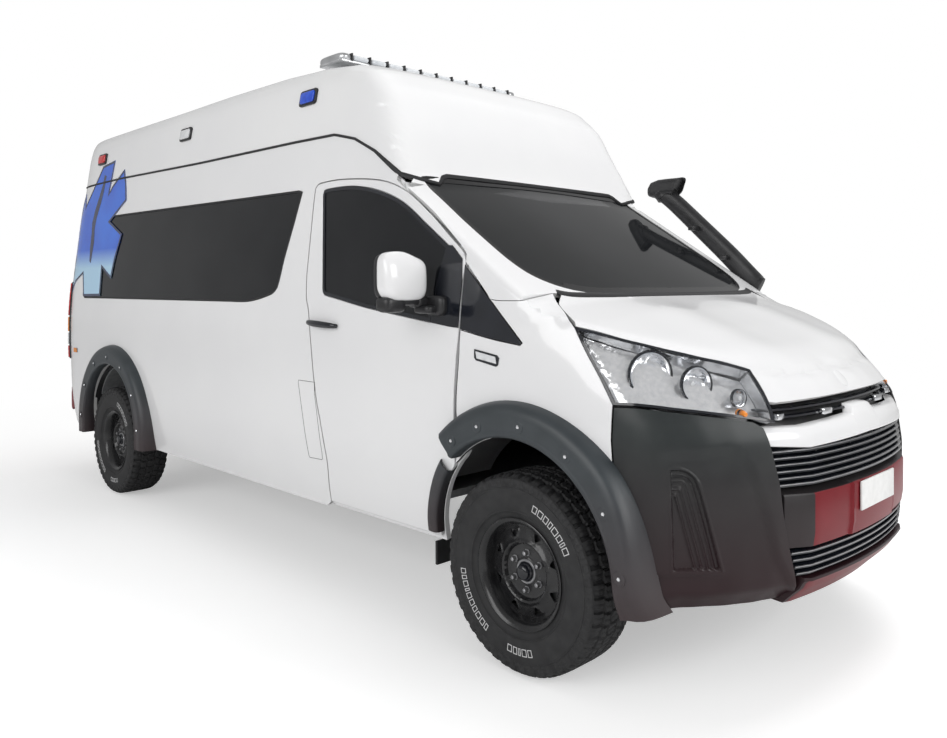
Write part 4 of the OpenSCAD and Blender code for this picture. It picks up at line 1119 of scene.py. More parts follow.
def ribs(p, n):
    """Upright flutes over the outer third of the lamp, flat facets over the rest."""
    u = p[:, 0] + .6 * (p[:, 1] + .9)
    wave = .0035 * np.abs(np.sin(u * 190)) * smoothstep(2.50, 2.42, p[:, 0])
    step = .010 * np.floor((p[:, 2] - 1.0) / .035) * .25
    return p - n * (.046 - wave + .010 * smoothstep(2.45, 2.60, p[:, 0]) + .4 * step)[:, None]


both(panel, "headlight_reflector", LAMP, LAMP_WAY, t=.004, res=.011, gap=.010, mats=[REFLECT], bevel=0,
     warp=ribs, slot="bar_silver")
wall_n = normals(LAMP)
inset = LAMP + unit(LAMP.mean(0) - LAMP) * .011
wall = np.vstack([inset - wall_n * .004, inset - wall_n * .058])
m = len(LAMP)
wf = [(i, (i + 1) % m, m + (i + 1) % m, m + i) for i in range(m)]
both(new_piece, "headlight_wall", wall, wf, [BRIGHT], slot="bar_silver")


def lamp_bowl(name, s, v, r, depth, aim, squash=1.0, bulb=AMBER):
    """A facetted reflector with its bulb, as far forward as the cover lets it stand."""
    p = snap([along(TOP_RUN, s) * (1 - v) + along(LOW_RUN, s) * v])[0]
    aim = unit(aim)
    ref = unit(np.cross([0, 0, 1.0], aim))
    up = np.cross(aim, ref)
    a = np.linspace(0, 2 * math.pi, 48, endpoint=False)
    rim_pts = np.outer(np.cos(a), ref) * r * squash + np.outer(np.sin(a), up) * r
    c = p.copy()
    for _ in range(60):
        if (skin(c + rim_pts) < -.007).all():
            break
        c = c - aim * .003
    prof = [(1.0, 0), (.93, -.001), (.90, -.012), (.82, -.30 * depth), (.62, -.62 * depth),
            (.36, -.88 * depth), (.13, -depth), (0, -depth)]
    v_, f_ = [], []
    for i, ang in enumerate(a):
        wob = 1 - .035 * (i % 4 == 0)
        for k, (q, h) in enumerate(prof):
            g = q * (wob if k in (3, 4, 5) else 1)
            v_.append(c + (ref * math.cos(ang) * squash + up * math.sin(ang)) * r * g + aim * h)
    n_p = len(prof)
    for i in range(48):
        j = (i + 1) % 48
        for k in range(n_p - 1):
            f_.append((i * n_p + k, i * n_p + k + 1, j * n_p + k + 1, j * n_p + k))
    both(new_piece, name, v_, f_, [CHROME], sharp=12, slot="bar_silver")
    both(turned, name + "_bulb", [(0, .018), (.008, .016), (.012, .006), (.012, -.012), (.016, -.014),
                                  (.016, -.02), (0, -.02)], c - aim * (depth - .018), aim, [bulb], seg=24,
                                  slot="lamp_clear")
    ring = turned(name + "_ring_right", [(r * .985, .002), (r * 1.06, .0035), (r * 1.10, -.002),
                                         (r * 1.08, -.010), (r * .985, -.010)], c, aim, [GLOSS], seg=48,
                                         slot="trim_black") if squash == 1.0 else None
    if ring:
        other_side(ring, name + "_ring_left")


lamp_bowl("low_beam", .37, .50, .078, .060, (.86, -.50, .03), bulb=CLEAR_WHITE)
lamp_bowl("high_beam", .64, .53, .060, .055, (.92, -.38, .03), bulb=CLEAR_WHITE)
lamp_bowl("position_lamp", .855, .66, .030, .03, (.94, -.33, .03), bulb=CLEAR_WHITE)
lamp_bowl("turn_lamp", .80, .93, .013, .012, (.90, -.40, .03), bulb=AMBER)

# ---------------------------------------------------------------- front bumper corners
INNER_EDGE = [(.972, .603), (.863, .587), (.66, .558), (.52, .518), (.421, .477)]


def inner_y(z):
    e = INNER_EDGE[::-1]
    return np.interp(z, [q[0] for q in e], [q[1] for q in e])


edge_in = on_front(spline([(-y, z) for z, y in INNER_EDGE], .018))
low_line = snap([(2.845, -.42, .340), (2.80, -.50, .338), (2.74, -.62, .340), (2.66, -.74, .341),
                 (2.575, -.825, .342), (2.51, -.877, .350)])
rear_edge = np.vstack([S(arc(FX, ARCH_Z, ARCH_R + .006, -6, 12, 6)),
                       S([(2.4995, .56), (2.470, .70), (2.456, .83), (2.449, .93)])])
corner = np.vstack([LOW_RUN[LOW_RUN[:, 1] < -.618] - [0, 0, .006], edge_in, spline(low_line, .02),
                    spline(rear_edge, .02)])
corner = snap(thin(corner, .007))
U = lambda p: (p[:, 0] - np.abs(p[:, 1])) * .70711
CREASE = [(.40, 1.690), (.525, 1.618), (.735, 1.558), (.86, 1.510), (.93, 1.470)]


def corner_shape(p, n):
    """The chamfer round the top and inner edges, the sunk vent with its hooked ribs, and the low ledge."""
    u, z = U(p), p[:, 2]
    cu = np.interp(z, [q[0] for q in CREASE], [q[1] for q in CREASE])
    d_in, d_top = (cu - u) * .95, .918 - .02 * smoothstep(1.50, 1.30, u) - z
    r = .06
    d = np.where((d_in > r) | (d_top > r), np.minimum(d_in, d_top), r - np.hypot(np.maximum(r - d_in, 0),
        np.maximum(r - d_top, 0)))
    fade = smoothstep(1.17, 1.30, u)
    off = -.013 * smoothstep(-.002, .016, d) * fade - .004 * smoothstep(.016, .10, d) * fade
    left = np.interp(z, [.50, .84], [1.249, 1.236])
    right = np.interp(z, [.50, .84], [1.415, 1.318])
    dr, dt, dl, db = (right - u) * .96, .842 - z, u - left, z - .500
    r2 = .05
    dd = np.where((dr > r2) | (dt > r2), np.minimum(dr, dt), r2 - np.hypot(np.maximum(r2 - dr, 0),
        np.maximum(r2 - dt, 0)))
    mask = smoothstep(0, .005, dd) * smoothstep(0, .004, dl) * smoothstep(0, .005, db)
    rib = sum(np.exp(-((dd - k) / .0042) ** 2) for k in (.022, .043, .064, .085))
    off = off - mask * (.011 - .0075 * np.clip(rib, 0, 1))
    edge = np.exp(-((dd + .004) / .004) ** 2) * (dl > -.004) * (db > -.004)
    edge = edge + np.exp(-((dl + .004) / .004) ** 2) * (dd > -.004) * (db > -.004)
    off = off + .003 * np.clip(edge, 0, 1)
    ledge = smoothstep(1.13, 1.19, u) * smoothstep(1.46, 1.38, u)
    off = off - .009 * smoothstep(.486, .474, z) * smoothstep(.38, .45, z) * ledge
    return p + n * off[:, None]


gu, gz = np.meshgrid(np.arange(1.226, 1.425, .0042), np.arange(.488, .854, .0048))
e1c = unit(np.cross([0, 0, 1.0], unit((.70711, -.70711, 0))))
vent_grid = np.outer(gu.ravel(), e1c) + np.outer(gz.ravel(), [0, 0, 1.0])
both(panel, "bumper_corner", corner, (.70711, -.70711, 0), t=.018, res=.016, gap=.0035, mats=[CHAR, PLASTIC],
     warp=corner_shape, bevel=.003, extra=vent_grid, slot="trim_charcoal", replaces=["front_bumper"],
     sharp=50)


# ---------------------------------------------------------------- front bumper middle
def nose_x(y, z):
    """Front face of the middle pieces: a shallow bow that turns at two upright corners."""
    a = abs(y)
    return NOSE + float(front_at(z)) - (.040 * (a / .43) ** 2 if a < .43 else .040 + (a - .43) * .42)


def across(name, ys, section, mats, pick=None, **kw):
    """A bar across the front: section(y) gives (out, z) pairs round the bar."""
    rings = []
    for y in ys:
        rings.append([(nose_x(y, z) + o, y, z) for o, z in section(y)])
    m_, n_ = len(rings[0]), len(rings)
    v_ = np.array(rings).reshape(-1, 3)
    f_, fm_ = [], []
    for i in range(n_ - 1):
        for k in range(m_):
            l = (k + 1) % m_
            f_.append((i * m_ + k, (i + 1) * m_ + k, (i + 1) * m_ + l, i * m_ + l))
            fm_.append(pick((ys[i] + ys[i + 1]) / 2, k) if pick else 0)
    f_.append(tuple(range(m_)))
    f_.append(tuple((n_ - 1) * m_ + k for k in range(m_))[::-1])
    fm_ += [fm_[0], fm_[-1]]
    return face_out(new_piece(name, v_, f_, mats, face_mats=fm_, **kw))


def stations(end, extra=()):
    if end > .43:
        q = set(np.round(np.linspace(-.43, .43, 25), 5)) | {-end, end, -(end + .43) / 2, (end + .43) / 2}
    else:
        q = set(np.round(np.linspace(-end, end, 27), 5))
    return sorted(q | set(extra))


def slats(name, z0, z1, count, out, **kw):
    """Level slats, each with a thin steel-grey strip along its front edge as a painted highlight."""
    parts, idx = [], []
    pitch = (z1 - z0) / count
    for i in range(count):
        z = z0 + pitch * (i + .5)
        end = float(inner_y(z)) - .010
        ys = stations(end)
        # The second section is a thin steel-grey strip on each slat's front edge, a painted highlight.
        for sec, mat in (([(out - .034, z + .002), (out, z - .006), (out, z + .0035), (out - .034, z + .012)],
                          0),
                         ([(out - .001, z - .0010), (out + .0032, z - .0002), (out + .0032, z + .0034),
                           (out - .001, z + .0046)], 1)):
            n_ = len(ys)
            v_ = np.array([[(nose_x(y, q) + o, y, q) for o, q in sec] for y in ys]).reshape(-1, 3)
            f_ = [[a * 4 + k, (a + 1) * 4 + k, (a + 1) * 4 + (k + 1) % 4, a * 4 + (k + 1) % 4]
                  for a in range(n_ - 1) for k in range(4)]
            f_ += [[3, 2, 1, 0], [(n_ - 1) * 4 + k for k in range(4)]]
            parts.append((v_, f_))
            idx.append(mat)
    for y in (-.36, -.12, .12, .36):
        z_a, z_b = z0 + .006, z1 - .006
        x = nose_x(y, (z0 + z1) / 2) + out - .022
        parts.append(rounded(np.array([x - .012, y - .004, z_a]), np.array([x, y + .004, z_b]), .001))
        idx.append(0)
    return joined(name, parts, [GLOSS, STEEL], idx, slot="trim_black", sharp=30, **kw)


slats("middle_grille_slats", .760, .893, 6, -.010, replaces=["grille"])
slats("lower_grille_slats", .447, .547, 4, -.010)
gy = np.linspace(-.575, .575, 31)
gz2 = np.linspace(.40, 1.030, 14)
bk = np.array([[(nose_x(y, z) - .058 - (.02 if z > .9 else 0), y * (1 if z > .55 else .9), z) for z in gz2]
               for y in gy]).reshape(-1, 3)
bt = [(i * 14 + j, (i + 1) * 14 + j, (i + 1) * 14 + j + 1) for i in range(30) for j in range(13)]
bt += [(i * 14 + j, (i + 1) * 14 + j + 1, i * 14 + j + 1) for i in range(30) for j in range(13)]
bv, bf, _ = thicken(bk, np.tile([1.0, 0, 0], (len(bk), 1)), np.array(bt), .006)
new_piece("grille_back_panel", bv, bf, [PLASTIC], slot="trim_black")

white_end = .598
ys = stations(white_end, (-.10, -.075, .075, .10, -.52, .52))


def white_bar(y):
    a = abs(y)
    tab = .030 * float(smoothstep(.10, .072, a))
    top = float(np.interp(a, [0, .43, .598], [.974, .960, .966])) + tab
    bot = float(np.interp(a, [0, .43, .598], [.897, .889, .905]))
    return [(-.034, bot + .004), (-.004, bot), (.002, bot + .004), (.004, (bot + top) / 2), (0, top - .006),
            (-.008, top), (-.040, top + .002)]


across("bumper_white_bar", ys, white_bar, [PAINT], bevel=.002, slot="body_white", sharp=45)
clips = []
for sy in (-1, 1):
    for y, w_ in ((.245, .034), (.50, .022)):
        x = nose_x(y, 1.0) - .012
        clips.append(rounded(np.array([x - .018, sy * (y - w_), .984]),
                             np.array([x + .006, sy * (y + w_), 1.006]), .004))
joined("upper_grille_clips", clips, [BRIGHT], slot="bar_silver")
parts = []
for z in (.992, 1.016):
    ys_ = np.linspace(-.56, .56, 25)
    sec = [(-.050, z - .002), (-.030, z - .004), (-.030, z + .002), (-.050, z + .004)]
    v_ = np.array([[(nose_x(y, q) + o, y, q) for o, q in sec] for y in ys_]).reshape(-1, 3)
    f_ = [[a * 4 + k, (a + 1) * 4 + k, (a + 1) * 4 + (k + 1) % 4, a * 4 + (k + 1) % 4] for a in range(24)
          for k in range(4)]
    parts.append((v_, f_ + [[3, 2, 1, 0], [96, 97, 98, 99]]))
joined("upper_grille_slats", parts, [GLOSS], slot="trim_black")


def band(y):
    a = abs(y)
    top = float(np.interp(a, [0, .195, .205, .43, .575], [.757, .757, .750, .751, .757]))
    bot = float(np.interp(a, [0, .43, .56], [.551, .549, .556]))
    step = .009 * float(smoothstep(.205, .197, a))
    return [(-.045, bot + .012), (-.012 + step, bot), (-.004 + step, bot + .004), (step, bot + .05),
            (step, top - .022), (-.004 + step, top - .014), (-.045, top)]


band_ys = stations(.553, (-.206, -.196, .196, .206, -.197, .197))
# The front faces take the painted red floor reflection; the top face and the ends past 0.43 m stay charcoal.
across("bumper_centre_band", band_ys, band, [RED_FLOOR_REFLECTION, CHAR], pick=lambda y,
       k: 1 if abs(y) > .43 or k == 5 else 0, bevel=.0015, slot="bumper_maroon", sharp=30)
plate = rounded(np.array([-.004, -.16, -.053]), np.array([.004, .16, .053]), .003)
pv = plate[0].copy()
pv[:, 0] += NOSE + .012 - .0015 * (pv[:, 1] / .16) ** 2
pv[:, 2] += .686
joined("front_plate_blank", [(pv, plate[1])], [PLATE], slot="body_white", sharp=40)


def lip(y):
    a = abs(y)
    top = float(np.interp(a, [0, .43, .47], [.446, .443, .447]))
    zs = np.interp(np.linspace(0, 1, 5), [0, 1], [.340, top - .020])
    face = [(.002, float(z)) for z in zs]
    return [(-.04, .343)] + face + [(.008, top - .012), (.004, top - .002), (-.045, top + .006)]


# The front face takes the painted red floor reflection; the bottom, the top and the ends stay charcoal.
across("bumper_lower_lip", stations(.462), lip, [RED_FLOOR_REFLECTION, BRIGHT, CHAR], pick=lambda y,
       k: 2 if abs(y) > .44 or k in (0, 6, 7, 8) else 0, bevel=.0015, slot="bumper_maroon", sharp=35)


# ---------------------------------------------------------------- wheel arch flares
FLARE_SEC = [(.004, -.030), (.000, .010), (.000, .050), (.006, .058), (.014, .061), (.022, .058),
             (.030, .057), (.075, .060), (.100, .057), (.118, .046), (.128, .026), (.133, .006),
             (.135, -.006)]
REACH = 1.032


def flare_ring(cx_, cz_, r, a, drop=0.0, fall=1.0, sec=FLARE_SEC):
    """The flare's section at angle a of its arch, or straight below an end by drop."""
    d = np.array([math.cos(math.radians(a)), math.sin(math.radians(a))])
    out = []
    slim = 1 - .32 * float(smoothstep(48, 4, a)) * (cx_ > 0)
    q = [(cx_ + d[0] * (r + s * slim), cz_ + d[1] * (r + s * slim) - drop) for s, _ in sec]
    base = S(q)
    for (s, o), b_ in zip(sec, base):
        k = (REACH - abs(b_[1])) / .060 if o > 0 else 1
        out.append([b_[0], b_[1] - o * min(k, 1.9) * fall, b_[2]])
    return out


def flare(name, rings, body="body", replaces=()):
    n_, m_ = len(rings), len(rings[0])
    f_ = [(i * m_ + k, i * m_ + k + 1, (i + 1) * m_ + k + 1, (i + 1) * m_ + k) for i in range(n_ - 1)
          for k in range(m_ - 1)]
    v_ = np.array(rings).reshape(-1, 3)
    tri_ = np.array([(a, b_, c_) for a, b_, c_, d_ in f_] + [(a, c_, d_) for a, b_, c_, d_ in f_])
    e1_ = np.zeros_like(v_)
    for i in range(n_):
        for k in range(m_):
            p, q_ = v_[i * m_ + max(k - 1, 0)], v_[i * m_ + min(k + 1, m_ - 1)]
            r_, s_ = v_[max(i - 1, 0) * m_ + k], v_[min(i + 1, n_ - 1) * m_ + k]
            e1_[i * m_ + k] = np.cross(q_ - p, s_ - r_)
    e1_ = unit(e1_)
    mid_ = n_ // 2 * m_ + m_ // 2
    if e1_[mid_][1] > 0:
        e1_ = -e1_
    vv, ff, fm_ = thicken(v_, e1_, tri_, .0035)
    both(new_piece, name, vv, ff, [FLARE, FLARE, FLARE], face_mats=fm_, sharp=60, body=body,
         slot="trim_charcoal", replaces=replaces)


front = [flare_ring(FX, ARCH_Z, .463, a) for a in np.linspace(132, 0, 56)]
front += [flare_ring(FX, ARCH_Z, .463, 0, drop) for drop in np.linspace(.012, .085, 6)]
flare("front_flare", front, replaces=["wheel_flares"])
rear_z = .455
rear = [flare_ring(RX, rear_z, .461, 180, drop) for drop in (.075, .04)]
rear += [flare_ring(RX, rear_z, .461, a) for a in np.linspace(180, 0, 70)]
rear += [flare_ring(RX, rear_z, .461, 0, drop) for drop in (.04, .075)]
flare("rear_flare", rear)
DOOR_SEC = [(-.001, -.018), (-.001, .012), (.004, .022), (.012, .025), (.030, .026), (.052, .022),
            (.064, .010), (.067, -.003)]


def door_ring(a, drop=0.0):
    d = np.array([math.cos(math.radians(a)), math.sin(math.radians(a))])
    base = S([(FX + d[0] * (ARCH_R + .004 + s), ARCH_Z + d[1] * (ARCH_R + .004 + s) - drop) for s,
              _ in DOOR_SEC])
    return [[b_[0], b_[1] - o, b_[2]] for (s, o), b_ in zip(DOOR_SEC, base)]


flare("door_flare", [door_ring(a) for a in np.linspace(143, 179.5, 20)], body="door_right")

def stud(cx_, cz_, r, a):
    """The place of a stud on a flare's face."""
    q = flare_ring(cx_, cz_, r, a, sec=[(.052, .0590), (.053, .0590)])[0]
    return np.array(q)


for tag, (cx_, cz_, r), angles in (("front", (FX, ARCH_Z, .463), (8, 32, 58, 84, 108, 126)),
                                   ("rear", (RX, rear_z, .461), (6, 33, 62, 90, 118, 147, 174))):
    cups = []
    for a in angles:
        p = stud(cx_, cz_, r, a)
        for prof, mat in (([(.0235, -.004), (.0235, .0004), (.019, .0022), (.013, .0010), (.008, -.0004),
                            (.0, -.0004)], 0),
                          ([(.0075, -.001), (.0075, .0020), (.0055, .0040), (0, .0045)], 1)):
            n_ = 20 if mat == 0 else 6
            v_ = np.array([[p[0] + q * math.cos(2 * math.pi * i / n_), p[1] - h,
                            p[2] + q * math.sin(2 * math.pi * i / n_)] for i in range(n_) for q, h in prof])
            k_ = len(prof)
            f_ = [[i * k_ + j, i * k_ + j + 1, ((i + 1) % n_) * k_ + j + 1, ((i + 1) % n_) * k_ + j]
                  for i in range(n_) for j in range(k_ - 1)]
            cups.append(((v_, f_), mat))
    both(joined, f"{tag}_flare_studs", [c_[0] for c_ in cups], [FLARE, CHROME], [c_[1] for c_ in cups],
         slot="trim_charcoal", sharp=40)

# wheelhouse liners
for tag, cx_, cz_, r, a0, a1, y0, y1 in (("front", FX, ARCH_Z, .472, 150, 4, .70, .955),
                                         ("rear", RX, ARCH_Z, .475, 180, 0, .735, .955)):
    rings = []
    for a in np.linspace(a0, a1, 40):
        d = np.array([math.cos(math.radians(a)), math.sin(math.radians(a))])
        rings.append([[cx_ + d[0] * r, -y, cz_ + d[1] * r] for y in np.linspace(y0, y1, 5)])
    n_, m_ = len(rings), 5
    v_ = np.array(rings).reshape(-1, 3)
    tri_ = np.array([t_ for i in range(n_ - 1) for k in range(m_ - 1)
                     for t_ in ((i * m_ + k, i * m_ + k + 1, (i + 1) * m_ + k + 1),
                                (i * m_ + k, (i + 1) * m_ + k + 1, (i + 1) * m_ + k))])
    nn = unit(np.array([cx_, 0, cz_]) - v_ * [1, 0, 1])
    vv, ff, _ = thicken(v_, nn, tri_, .003)
    both(new_piece, f"{tag}_wheelhouse_liner", vv, ff, [PLASTIC], sharp=60, slot="trim_black")


# ---------------------------------------------------------------- wheels
WY = -middle("tyre_front_right").y
R_T, R_BEAD, W_T = .3745, .203, .1215


def tyre_mesh():
    """An all-terrain tyre: five rows of blocks with zigzag grooves, and lugs that run down the shoulders."""
    pitches, per = 46, 10
    n_ = pitches * per
    lat = np.linspace(-1, 1, 41)
    ang = np.arange(n_) / n_ * pitches
    A, L = np.meshgrid(ang, lat, indexing="ij")
    r = R_T - .004 * np.clip((np.abs(L) - .35) / .65, 0, 1) ** 2 - .010 * np.clip((np.abs(L) - .84) / .16, 0,
        1) ** 1.6
    tri_w = lambda t: np.abs((t % 1) * 2 - 1) * 2 - 1
    zig = .045 * tri_w(A)
    groove = np.zeros_like(r)
    for c0, w0 in ((-.60, .038), (-.21, .030), (.21, .030), (.60, .038)):
        groove = np.maximum(groove, (np.abs(L - c0 - zig * (1 if abs(c0) < .4 else .6)) < w0).astype(float))
    row = np.digitize(L - zig, [-.60, -.21, .21, .60])
    shift = np.choose(row, [.0, .45, .15, .70, .35])
    slant = np.choose(row, [.10, .55, -.45, .55, -.10]) * L
    ph = (A + shift + slant) % 1
    wide = np.where((row == 0) | (row == 4), .24, .17)
    groove = np.maximum(groove, (ph < wide).astype(float))
    sipe = (np.abs(ph - .60) < .05) * .35
    r = r - np.maximum(groove, sipe) * .0085
    y = L * (W_T - .010)
    side = [(.3615, .1145), (.356, .1180), (.345, .1205), (.333, .1195)]
    lug = (ang % 1) < .55
    lug2 = ((ang + .5) % 1) < .55
    cols_r, cols_y = [], []
    for sgn in (-1, 1):
        cr, cy = [], []
        for k, (q, w_) in enumerate(side):
            on = lug if k < 3 else lug2
            up = .0030 if k in (1, 2, 3) else 0
            cr.append(q + (0 if k else -.004) * (~on))
            cy.append(sgn * (w_ + np.where(on, up, -.0015 if k in (1, 2, 3) else 0)))
        wall = [(.325, .1185), (.3235, .1200), (.3205, .1200), (.319, .1187), (.300, .1205), (.275, .1215),
                (.252, .1190), (.240, .1150), (.238, .1165), (.2345, .1165), (.2325, .1125), (.222, .1060),
                (.212, .1010), (R_BEAD, .0985), (R_BEAD - .003, .090), (R_BEAD - .004, .075)]
        for q, w_ in wall:
            cr.append(np.full(n_, q))
            cy.append(np.full(n_, sgn * w_))
        cols_r.append(np.stack(cr, 1))
        cols_y.append(np.stack(cy, 1))
    RR = np.concatenate([cols_r[0][:, ::-1], r, cols_r[1]], 1)
    YY = np.concatenate([cols_y[0][:, ::-1], y, cols_y[1]], 1)
    t_ = np.arange(n_) / n_ * 2 * math.pi
    v_ = np.stack([RR * np.cos(t_)[:, None], YY, RR * np.sin(t_)[:, None]], -1)
    m_ = RR.shape[1]
    f_ = []
    for i in range(n_):
        j = (i + 1) % n_
        for k in range(m_ - 1):
            f_.append((i * m_ + k, i * m_ + k + 1, j * m_ + k + 1, j * m_ + k))
        f_.append((i * m_ + m_ - 1, i * m_, j * m_, j * m_ + m_ - 1))
    return v_.reshape(-1, 3), f_


def shifted(ob, name, dx, body, replaces=()):
    """A copy moved along the vehicle."""
    me = ob.data.copy()
    me.transform(Matrix.Translation((dx, 0, 0)))
    c_ = bpy.data.objects.new(name, me)
    bpy.context.scene.collection.objects.link(c_)
    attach(c_, body)
    if "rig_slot" in ob:
        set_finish(c_, ob["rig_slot"])
    if replaces:
        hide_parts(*replaces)
    return c_


def all_wheels(ob, base, node=None):
    """The other three wheels' copies of a piece made for the right front one."""
    r_ = shifted(ob, base + "_rear_right", RX - FX, "wheel_rear_right",
                 [node + "_rear_right"] if node else ())
    other_side(ob, base + "_front_left", "wheel_front_left", [node + "_front_left"] if node else ())
    other_side(r_, base + "_rear_left", "wheel_rear_left", [node + "_rear_left"] if node else ())


hub_at = np.array([FX, -WY, AXLE])
tv, tf = tyre_mesh()
tyre = new_piece("tread_tyre_front_right", tv + hub_at, tf, [TYRE], sharp=32, body="wheel_front_right",
                 slot="tyre_black", replaces=["tyre_front_right"])
all_wheels(face_out(tyre), "tread_tyre", "tyre")


def sidewall_mark(a0, a1, r0, r1, line=.0028):
    """A hollow block mark on the outer sidewall, between two angles and two radii."""
    def ring_(da, dr, y):
        q = []
        for r_, s0, s1 in ((r0 + dr, a0 + da, a1 - da), (r1 - dr, a1 - da, a0 + da)):
            for a in np.linspace(s0, s1, 4):
                q.append((r_ * math.cos(a), y(r_), r_ * math.sin(a)))
        return q
    w_at = lambda r_: -float(np.interp(r_, [.240, .252, .275, .300, .319], [.1150, .1190, .1215, .1205,
        .1187]))
    m_in = line / ((r0 + r1) / 2)
    up = lambda h: (lambda r_: w_at(r_) - h)
    loops = [ring_(0, 0, up(-.0008)), ring_(0, 0, up(.0010)), ring_(m_in, line, up(.0010)),
             ring_(m_in, line, up(-.0008))]
    v_ = np.array(loops).reshape(-1, 3)
    k_ = len(loops[0])
    f_ = [[a * k_ + i, a * k_ + (i + 1) % k_, (a + 1) * k_ + (i + 1) % k_, (a + 1) * k_ + i]
          for a in range(3) for i in range(k_)]
    return v_ + hub_at, f_


marks = []
for start, widths in ((math.radians(28), (5.2, 2.4, 4.4, 5.2, 3.4, 4.4, 5.0, 4.6)),
                      (math.radians(188), (4.2, 3.2, 4.6, 2.2, 4.4, 4.4, 3.8, 4.8, 4.4, 3.2)),
                      (math.radians(262), (4.6, 4.2, 2.2, 4.8, 4.2))):
    a = start
    for w_ in widths:
        marks.append(sidewall_mark(a, a + math.radians(w_), .2665, .2935))
        a += math.radians(w_ + 1.3)
ob = joined("tyre_marks_front_right", marks, [MARK], body="wheel_front_right", slot="tyre_black", sharp=30)
all_wheels(face_out(ob), "tyre_marks")

# steel wheel: barrel, pressed disc with eight windows, nuts and cap
BARREL = [(.178, .058), (.1835, .072), (.1885, .088), (.1965, .0975), (.2040, .1000), (.2080, .1035),
          (.2085, .1065), (.2050, .1080), (.1985, .1050), (.1905, .1000), (.1840, .0900), (.1790, .0760),
          (.1735, .058), (.1715, .030), (.1700, -.010), (.1760, -.060), (.1860, -.090), (.1960, -.1005),
          (.2070, -.1035), (.2080, -.0985), (.2020, -.0930), (.1925, -.085), (.1825, -.058), (.1765, -.010),
          (.1775, .030)]
b_ = turned("rim_barrel_front_right", BARREL + [BARREL[0]], hub_at, (0, -1, 0), [WHEEL], seg=72,
            body="wheel_front_right", slot="wheel_black", replaces=["rim_front_right"], sharp=35)
all_wheels(b_, "rim_barrel", "rim")
circle = lambda r_, n_=96: np.array([(r_ * math.cos(t_), r_ * math.sin(t_))
                                     for t_ in np.linspace(0, 2 * math.pi, n_, endpoint=False)])


def window_hole(a, grow=0.0):
    """A rounded three-cornered window with its point towards the hub."""
    pts_ = []
    c_ = [(.127 - grow * 1.4, 0), (.158 + grow, -.0235 - grow), (.158 + grow, .0235 + grow)]
    for i in range(3):
        p, q_, r_ = np.array(c_[i - 1]), np.array(c_[i]), np.array(c_[(i + 1) % 3])
        p1, p2 = q_ + unit(p - q_) * .0105, q_ + unit(r_ - q_) * .0105
        for t_ in np.linspace(0, 1, 6):
            pts_.append((1 - t_) ** 2 * p1 + 2 * t_ * (1 - t_) * q_ + t_ ** 2 * p2)
    pts_ = np.array(pts_)
    ca, sa = math.cos(a), math.sin(a)
    return np.column_stack([pts_[:, 0] * ca - pts_[:, 1] * sa, pts_[:, 0] * sa + pts_[:, 1] * ca])


holes = [window_hole(math.radians(22.5 + 45 * i)) for i in range(8)]
ring_pts = np.vstack([window_hole(math.radians(22.5 + 45 * i), .006) for i in range(8)] + [circle(r_, 90)
    for r_ in (.172, .121, .114, .107, .100, .080, .046, .040)])
d_uv, d_tri = fill(circle(.1775), [*holes, circle(.034, 40)], .011, ring_pts)
rad = np.hypot(d_uv[:, 0], d_uv[:, 1])
face_y = np.interp(rad, [.034, .044, .050, .095, .101, .108, .116, .124, .160, .170, .1775],
                   [.058, .058, .0525, .050, .052, .069, .071, .063, .052, .050, .050])
near = np.full(len(d_uv), 9.0)
for h_ in holes:
    near = np.minimum(near, np.sqrt(((d_uv[:, None] - h_[None]) ** 2).sum(2)).min(1))
face_y = face_y + .0035 * np.exp(-(near / .0045) ** 2)
d_pts = np.column_stack([d_uv[:, 0], -face_y, d_uv[:, 1]]) + hub_at
vv, ff, _ = thicken(d_pts, np.tile([0, -1.0, 0], (len(d_pts), 1)), d_tri, .005)
disc = new_piece("rim_disc_front_right", vv, ff, [WHEEL], face_mats=[0] * len(ff), sharp=35,
                 body="wheel_front_right", slot="wheel_black")
all_wheels(disc, "rim_disc")
nuts = []
for i in range(6):
    a = math.radians(60 * i + 30)
    c_ = hub_at + [.070 * math.cos(a), -.051, .070 * math.sin(a)]
    prof = [(.0135, .0), (.0135, .003), (.0105, .0035), (.0105, .016), (.0085, .0205), (.004, .0225),
            (0, .0228)]
    v_ = np.array([[c_[0] + q * math.cos(2 * math.pi * j / 6), c_[1] - h,
                    c_[2] + q * math.sin(2 * math.pi * j / 6)] for j in range(6) for q, h in prof])
    k_ = len(prof)
    nuts.append((v_, [[j * k_ + l, j * k_ + l + 1, ((j + 1) % 6) * k_ + l + 1, ((j + 1) % 6) * k_ + l]
                      for j in range(6) for l in range(k_ - 1)]))
n_ob = joined("wheel_nuts_front_right", nuts, [STEEL], body="wheel_front_right", slot="steel_grey", sharp=25)
all_wheels(face_out(n_ob), "wheel_nuts")
cap = turned("wheel_cap_front_right", [(0, .088), (.014, .0875), (.024, .0850), (.0285, .080), (.0300, .070),
                                       (.0345, .066), (.0365, .058), (.0365, .050), (.0, .050)], hub_at,
                                       (0, -1, 0), [GLOSS], seg=40, body="wheel_front_right",
                                       slot="wheel_black", sharp=35)
all_wheels(cap, "wheel_cap")
ringp = turned("wheel_hub_ring_front_right", [(.0370, .0560), (.0385, .0610), (.0440, .0615), (.0465, .0590),
                                              (.0465, .0540), (.0370, .0540), (.0370, .0560)], hub_at,
                                              (0, -1, 0), [STEEL], seg=40, body="wheel_front_right",
                                              slot="steel_grey", sharp=35)
all_wheels(ringp, "wheel_hub_ring")

